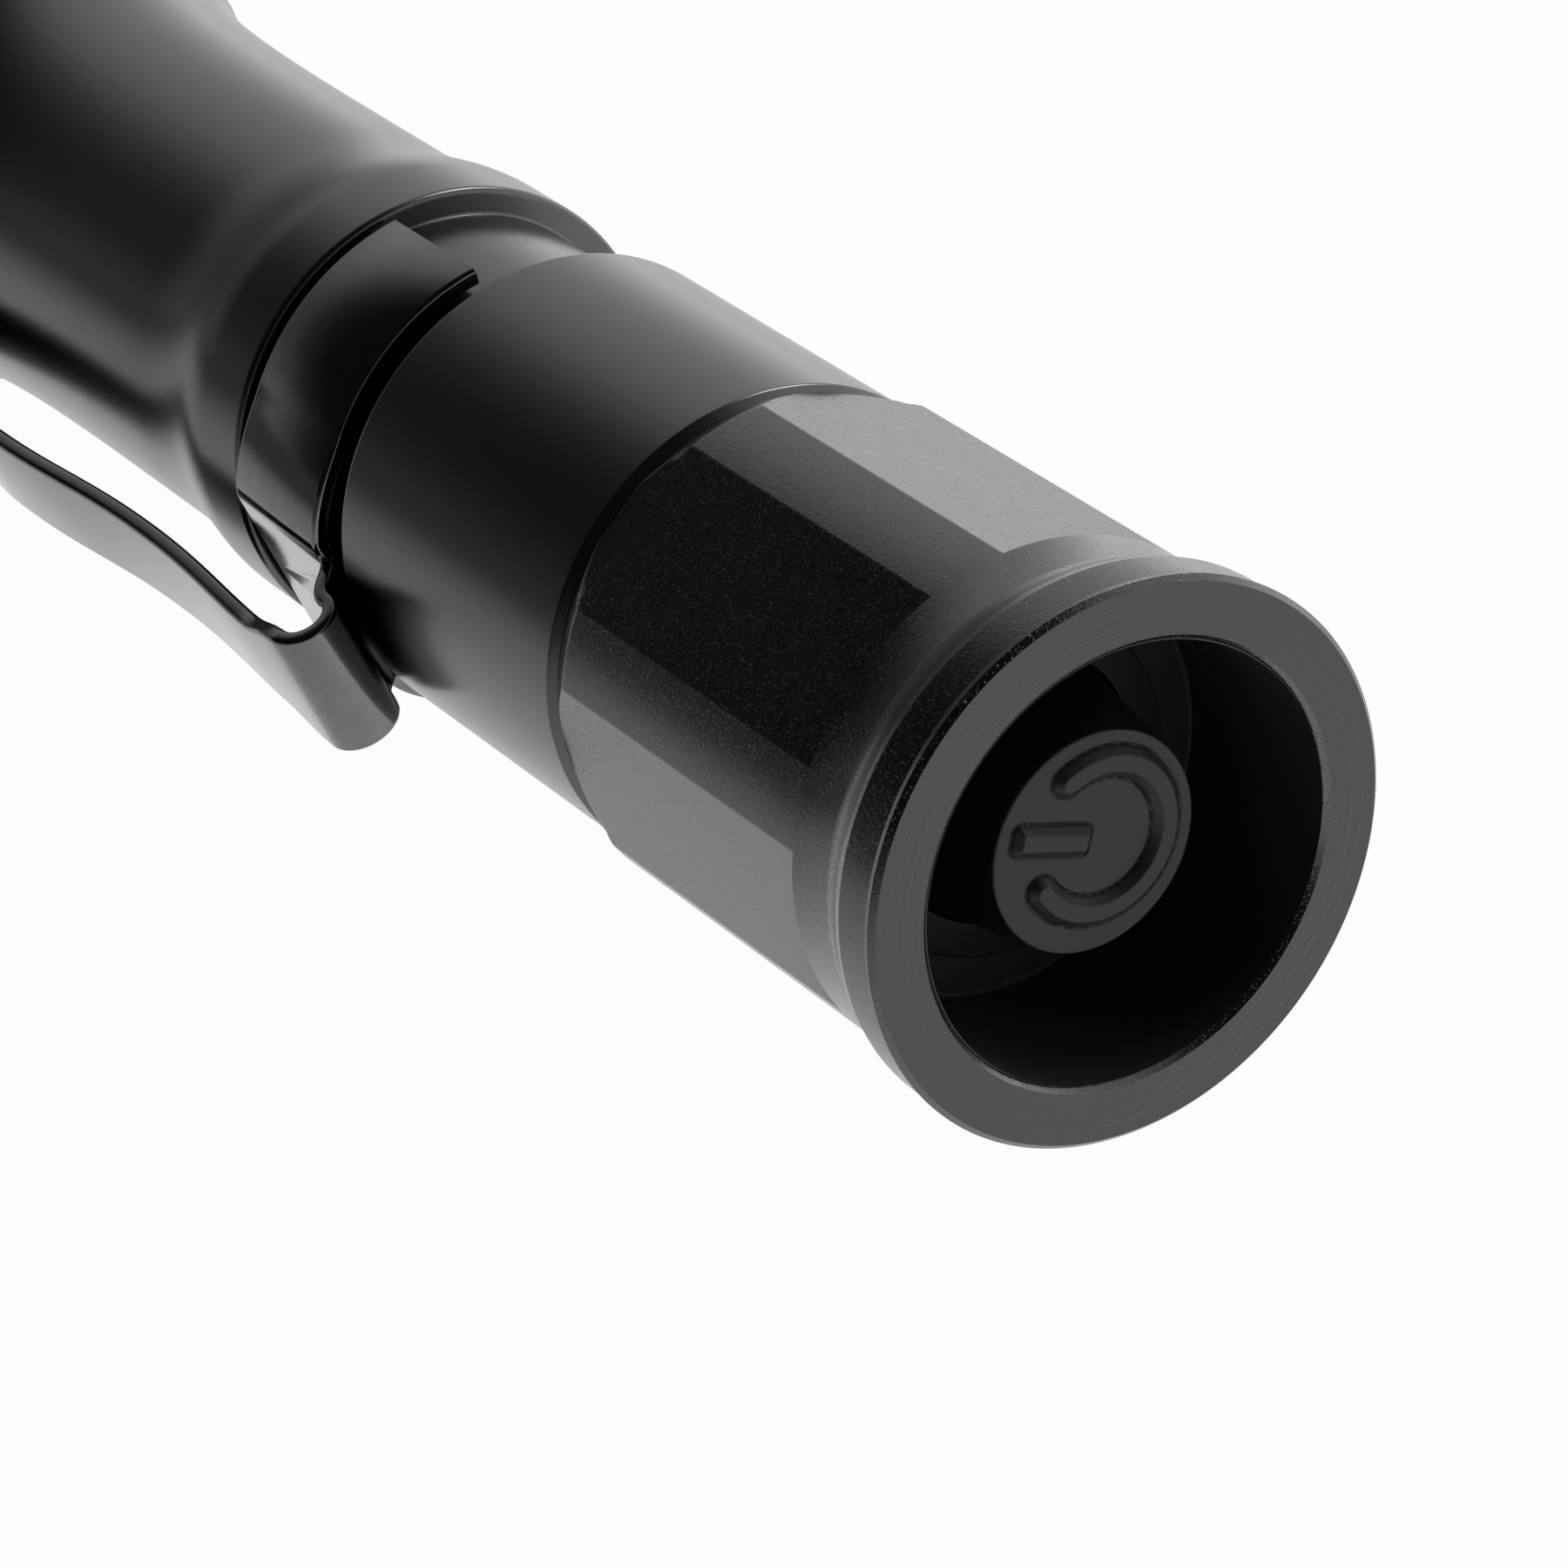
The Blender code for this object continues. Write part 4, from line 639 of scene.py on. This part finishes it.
def clip_arm():
    """The strip that laps onto the ring's seat, turns back in a hairpin and runs up to the head."""
    seat = GROOVE_R + CLIP_FLAT_GAP + CLIP_RING_T / 2
    bend_mid = CLIP_BEND_R - CLIP_T / 2
    low, high = CLIP_BEND_OUT - bend_mid, CLIP_BEND_OUT + bend_mid
    line = [(CLIP_RING_AT + CLIP_ROOT, seat), (CLIP_RING_AT + CLIP_LAP_END, seat)]
    line += bezier((CLIP_RING_AT + CLIP_LEAVE, seat), (CLIP_RING_AT - 0.55, seat),
                   (CLIP_BEND_AT + 1.3, low), (CLIP_BEND_AT, low), 14)
    steps = 24
    for i in range(1, steps + 1):
        angle = math.radians(270 - 180 * i / steps)
        line.append((CLIP_BEND_AT + bend_mid * math.cos(angle), CLIP_BEND_OUT + bend_mid * math.sin(angle)))
    touch = body_radius(CLIP_BEND_AT + CLIP_TOUCH_AT) + CLIP_TOUCH_GAP + CLIP_T / 2
    knots = [(0.0, high), (CLIP_SAG_AT, high - CLIP_SAG), (CLIP_RISE_AT, high), (CLIP_TOUCH_AT, touch),
             (CLIP_TIP_AT, touch + CLIP_TIP_LIFT)]
    for (a, out_a), (b, out_b) in zip(knots, knots[1:]):
        reach = (b - a) * 0.42
        pull = out_b if b != CLIP_TIP_AT else out_b - CLIP_TIP_EASE
        line += bezier((CLIP_BEND_AT + a, out_a), (CLIP_BEND_AT + a + reach, out_a),
                       (CLIP_BEND_AT + b - reach, pull), (CLIP_BEND_AT + b, out_b), 20)[1:]
    points = [Vector(p) for p in line]
    half_widths = [clip_width(middle.x, i) / 2 for i, middle in enumerate(points)]
    stations = stations_along(points, half_widths, CLIP_T / 2)

    def put(middle, normal, w, t):
        return clip_spot(middle.x + normal.x * t, middle.y + normal.y * t, w)
    return sweep("clip_arm_strip", stations, put)


def clip_width(place, index):
    """The strip is wide up to the bend, tapers on the arm and narrows round its tip."""
    share = 0.0
    if index > ARM_STATION:
        share = min(1.0, max(0.0, (place - CLIP_BEND_AT) / CLIP_TAPER_L))
    width = CLIP_BEND_W + (CLIP_ARM_W - CLIP_BEND_W) * smooth(share)
    into_tip = CLIP_TIP_R - (CLIP_BEND_AT + CLIP_TIP_AT - place)
    if into_tip > 0:
        width -= CLIP_TIP_NARROW * (CLIP_TIP_R - math.sqrt(max(0.0, CLIP_TIP_R ** 2 - into_tip ** 2)))
    return width


def body_radius(place):
    """The body's radius on the way up to the head."""
    for (a, low), (b, high) in zip(body_profile, body_profile[1:]):
        if WAIST_END <= a <= place <= b <= HEAD_AT:
            return low + (high - low) * (place - a) / (b - a)
    return WAIST_R


def join(target, tool):
    """Unite tool with target for good."""
    change = target.modifiers.new("unite", "BOOLEAN")
    change.operation = "UNION"
    change.solver = "EXACT"
    change.object = tool
    bpy.context.view_layer.update()
    made = bpy.data.meshes.new_from_object(target.evaluated_get(bpy.context.evaluated_depsgraph_get()))
    target.modifiers.clear()
    target.data = made
    bpy.data.objects.remove(tool)
    return target


clip = join(clip_ring(), clip_arm())
dress(clip, "clip", CLIP_STEEL, "clip_steel", "pocket_clip")


# The pieces that keep the solids' shapes

KEPT = {
    "switch_plunger": WHITE, "switch_body": BLACK, "switch_board": BOARD,
    "switch_retaining_ring": BRASS, "tail_spring": GOLD, "battery_cell": WRAP,
    "battery_terminal": STEEL, "driver_spring": GOLD, "driver_retaining_ring": BRASS,
    "driver_board": BOARD, "driver_inductor": FERRITE, "driver_chip": BLACK,
    "led_wire_positive": RED, "led_wire_negative": BLACK, "led_board": STAR,
    "led_board_screw_top": STEEL, "led_board_screw_bottom": STEEL, "led_emitter": WHITE,
    "led_dome": SILICONE, "led_gasket": WHITE, "lens_gasket": SEAL,
}
for name, look in KEPT.items():
    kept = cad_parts[name]
    kept.data.materials.clear()
    kept.data.materials.append(look)

chip = lathe("led_phosphor",
             rounded([(PHOSPHOR_AT, 0.0, 0.0), (PHOSPHOR_AT, PHOSPHOR_R, 0.03),
                      (PHOSPHOR_END, PHOSPHOR_R, 0.03), (PHOSPHOR_END, 0.0, 0.0)], 2), columns(48))
dress(chip, "light", PHOSPHOR, "silicone")


# Camera, floor and light

CAMERA_LENS, CAMERA_SENSOR = 155.616, 36.0
CAMERA_NEAR, CAMERA_FAR = 0.01, 50.0
CAMERA_PLACE = (-0.274572, 0.152916, 0.146764)
CAMERA_WAY = Vector((0.75343, -0.48482, -0.44417))

camera_data = bpy.data.cameras.new("camera")
camera_data.lens = CAMERA_LENS
camera_data.sensor_width = CAMERA_SENSOR
camera_data.clip_start = CAMERA_NEAR
camera_data.clip_end = CAMERA_FAR
camera = bpy.data.objects.new("camera", camera_data)
camera.location = CAMERA_PLACE
camera.rotation_mode = "QUATERNION"
camera.rotation_quaternion = CAMERA_WAY.to_track_quat("-Z", "Y")
bpy.context.scene.collection.objects.link(camera)
bpy.context.scene.camera = camera

bpy.context.scene.view_settings.view_transform = "Standard"


def maths(tree, operation, a, b):
    """One step of arithmetic in a node tree."""
    return node(tree, "ShaderNodeMath", {0: a, 1: b}, operation=operation).outputs["Value"]


def float_mix(tree, share, a, b):
    """The value a where share is 0 and b where it is 1."""
    mixed = node(tree, "ShaderNodeMix", data_type="FLOAT")
    for socket, value in (("Factor", share), ("A", a), ("B", b)):
        if isinstance(value, bpy.types.NodeSocket):
            tree.links.new(value, mixed.inputs[socket])
        else:
            mixed.inputs[socket].default_value = value
    return mixed.outputs["Result"]


FLOOR_SIZE, FLOOR_GREY, FLOOR_GLOW = 3.0, 0.88, 0.97
# The floor's worth in a mirror, from one value to another between two distances towards the front
FLOOR_NEAR, FLOOR_FAR = (1.0, 0.68, 0.006, 0.026), (1.0, 0.16, 0.016, 0.09)


def make_floor():
    """White to the camera with a faint shadow; what mirrors it sees it fall off towards the front."""
    builder = bmesh.new()
    bmesh.ops.create_circle(builder, cap_ends=True, radius=FLOOR_SIZE, segments=96)
    floor = mesh_object("floor", builder)
    made, tree, shader = new_material("floor_white")
    shader.inputs["Base Color"].default_value = (FLOOR_GREY, FLOOR_GREY, FLOOR_GREY, 1.0)
    shader.inputs["Roughness"].default_value = 0.9
    shader.inputs["Specular IOR Level"].default_value = 0.0
    place = node(tree, "ShaderNodeTexCoord").outputs["Object"]
    front = maths(tree, "MAXIMUM", node(tree, "ShaderNodeSeparateXYZ", {0: place}).outputs["Y"], 0.0)
    near = ramp(tree, front, *FLOOR_NEAR)
    far = ramp(tree, front, *FLOOR_FAR, kind="SMOOTHSTEP")
    mirrored = maths(tree, "MULTIPLY", near, far)
    path = node(tree, "ShaderNodeLightPath").outputs
    strength = float_mix(tree, path["Is Glossy Ray"], 1.0, mirrored)
    glow = node(tree, "ShaderNodeEmission", {"Color": (1.0, 1.0, 1.0, 1.0), "Strength": strength})
    seen = maths(tree, "MAXIMUM", maths(tree, "MAXIMUM", path["Is Camera Ray"], path["Is Glossy Ray"]),
                 path["Is Transmission Ray"])
    mixed = node(tree, "ShaderNodeMixShader", {0: maths(tree, "MULTIPLY", seen, FLOOR_GLOW),
                                               1: shader.outputs["BSDF"], 2: glow.outputs["Emission"]})
    tree.links.new(mixed.outputs["Shader"], tree.nodes["Material Output"].inputs["Surface"])
    floor.data.materials.append(made)


DARK_WAY = Vector((-0.1, 0.772, 0.625)).normalized()
# The surround's brightness against the dot product with DARK_WAY
SURROUND = [(-0.6, 1.6), (-0.5, 1.42), (-0.38, 1.12), (-0.28, 0.85), (-0.17, 0.72), (-0.05, 0.66),
            (0.1, 0.62), (0.2, 0.54), (0.3, 0.38), (0.38, 0.18), (0.44, 0.06), (0.52, 0.015)]
# Straight ahead of the light the surround falls to this share, between these two values of X
AHEAD_SHADE, AHEAD_FROM, AHEAD_FULL = 0.2, 0.86, 0.96


def make_world():
    """A white surround that is dark on the camera's side and above, as the black surfaces mirror."""
    world = bpy.data.worlds.new("surround")
    bpy.context.scene.world = world
    world.use_nodes = True
    tree = world.node_tree
    way = node(tree, "ShaderNodeTexCoord").outputs["Generated"]
    dot = node(tree, "ShaderNodeVectorMath", {0: way, 1: tuple(DARK_WAY)},
               operation="DOT_PRODUCT").outputs["Value"]
    low, high, top = SURROUND[0][0], SURROUND[-1][0], SURROUND[0][1]
    tone = node(tree, "ShaderNodeValToRGB", {"Fac": ramp(tree, dot, 0.0, 1.0, low, high)})
    stops = tone.color_ramp.elements
    while len(stops) < len(SURROUND):
        stops.new(0.5)
    for stop, (place, value) in zip(stops, SURROUND):
        stop.position = (place - low) / (high - low)
        stop.color = (value / top, value / top, value / top, 1.0)
    ahead = node(tree, "ShaderNodeSeparateXYZ", {"Vector": way}).outputs["X"]
    shade = ramp(tree, ahead, 1.0, AHEAD_SHADE, AHEAD_FROM, AHEAD_FULL)
    light = maths(tree, "MULTIPLY", maths(tree, "MULTIPLY", tone.outputs["Color"], top), shade)
    path = node(tree, "ShaderNodeLightPath").outputs
    strength = float_mix(tree, path["Is Camera Ray"], light, 1.0)
    tree.links.new(strength, tree.nodes["Background"].inputs["Strength"])
    tree.nodes["Background"].inputs["Color"].default_value = (1.0, 1.0, 1.0, 1.0)


def soft_lamp(name, place, target, size, power):
    """A round area lamp that faces its target."""
    data = bpy.data.lights.new(name, "AREA")
    data.shape = "DISK"
    data.size = size
    data.energy = power
    lamp = bpy.data.objects.new(name, data)
    lamp.location = place
    way = Vector(target) - Vector(place)
    lamp.rotation_mode = "QUATERNION"
    lamp.rotation_quaternion = way.to_track_quat("-Z", "Y")
    bpy.context.scene.collection.objects.link(lamp)


LAMP_PLACE, LAMP_TARGET, LAMP_SIZE, LAMP_POWER = (0.0, -0.62, 0.92), (-0.02, 0.0, 0.01), 0.5, 4.0

make_floor()
make_world()
soft_lamp("top_lamp", LAMP_PLACE, LAMP_TARGET, LAMP_SIZE, LAMP_POWER)
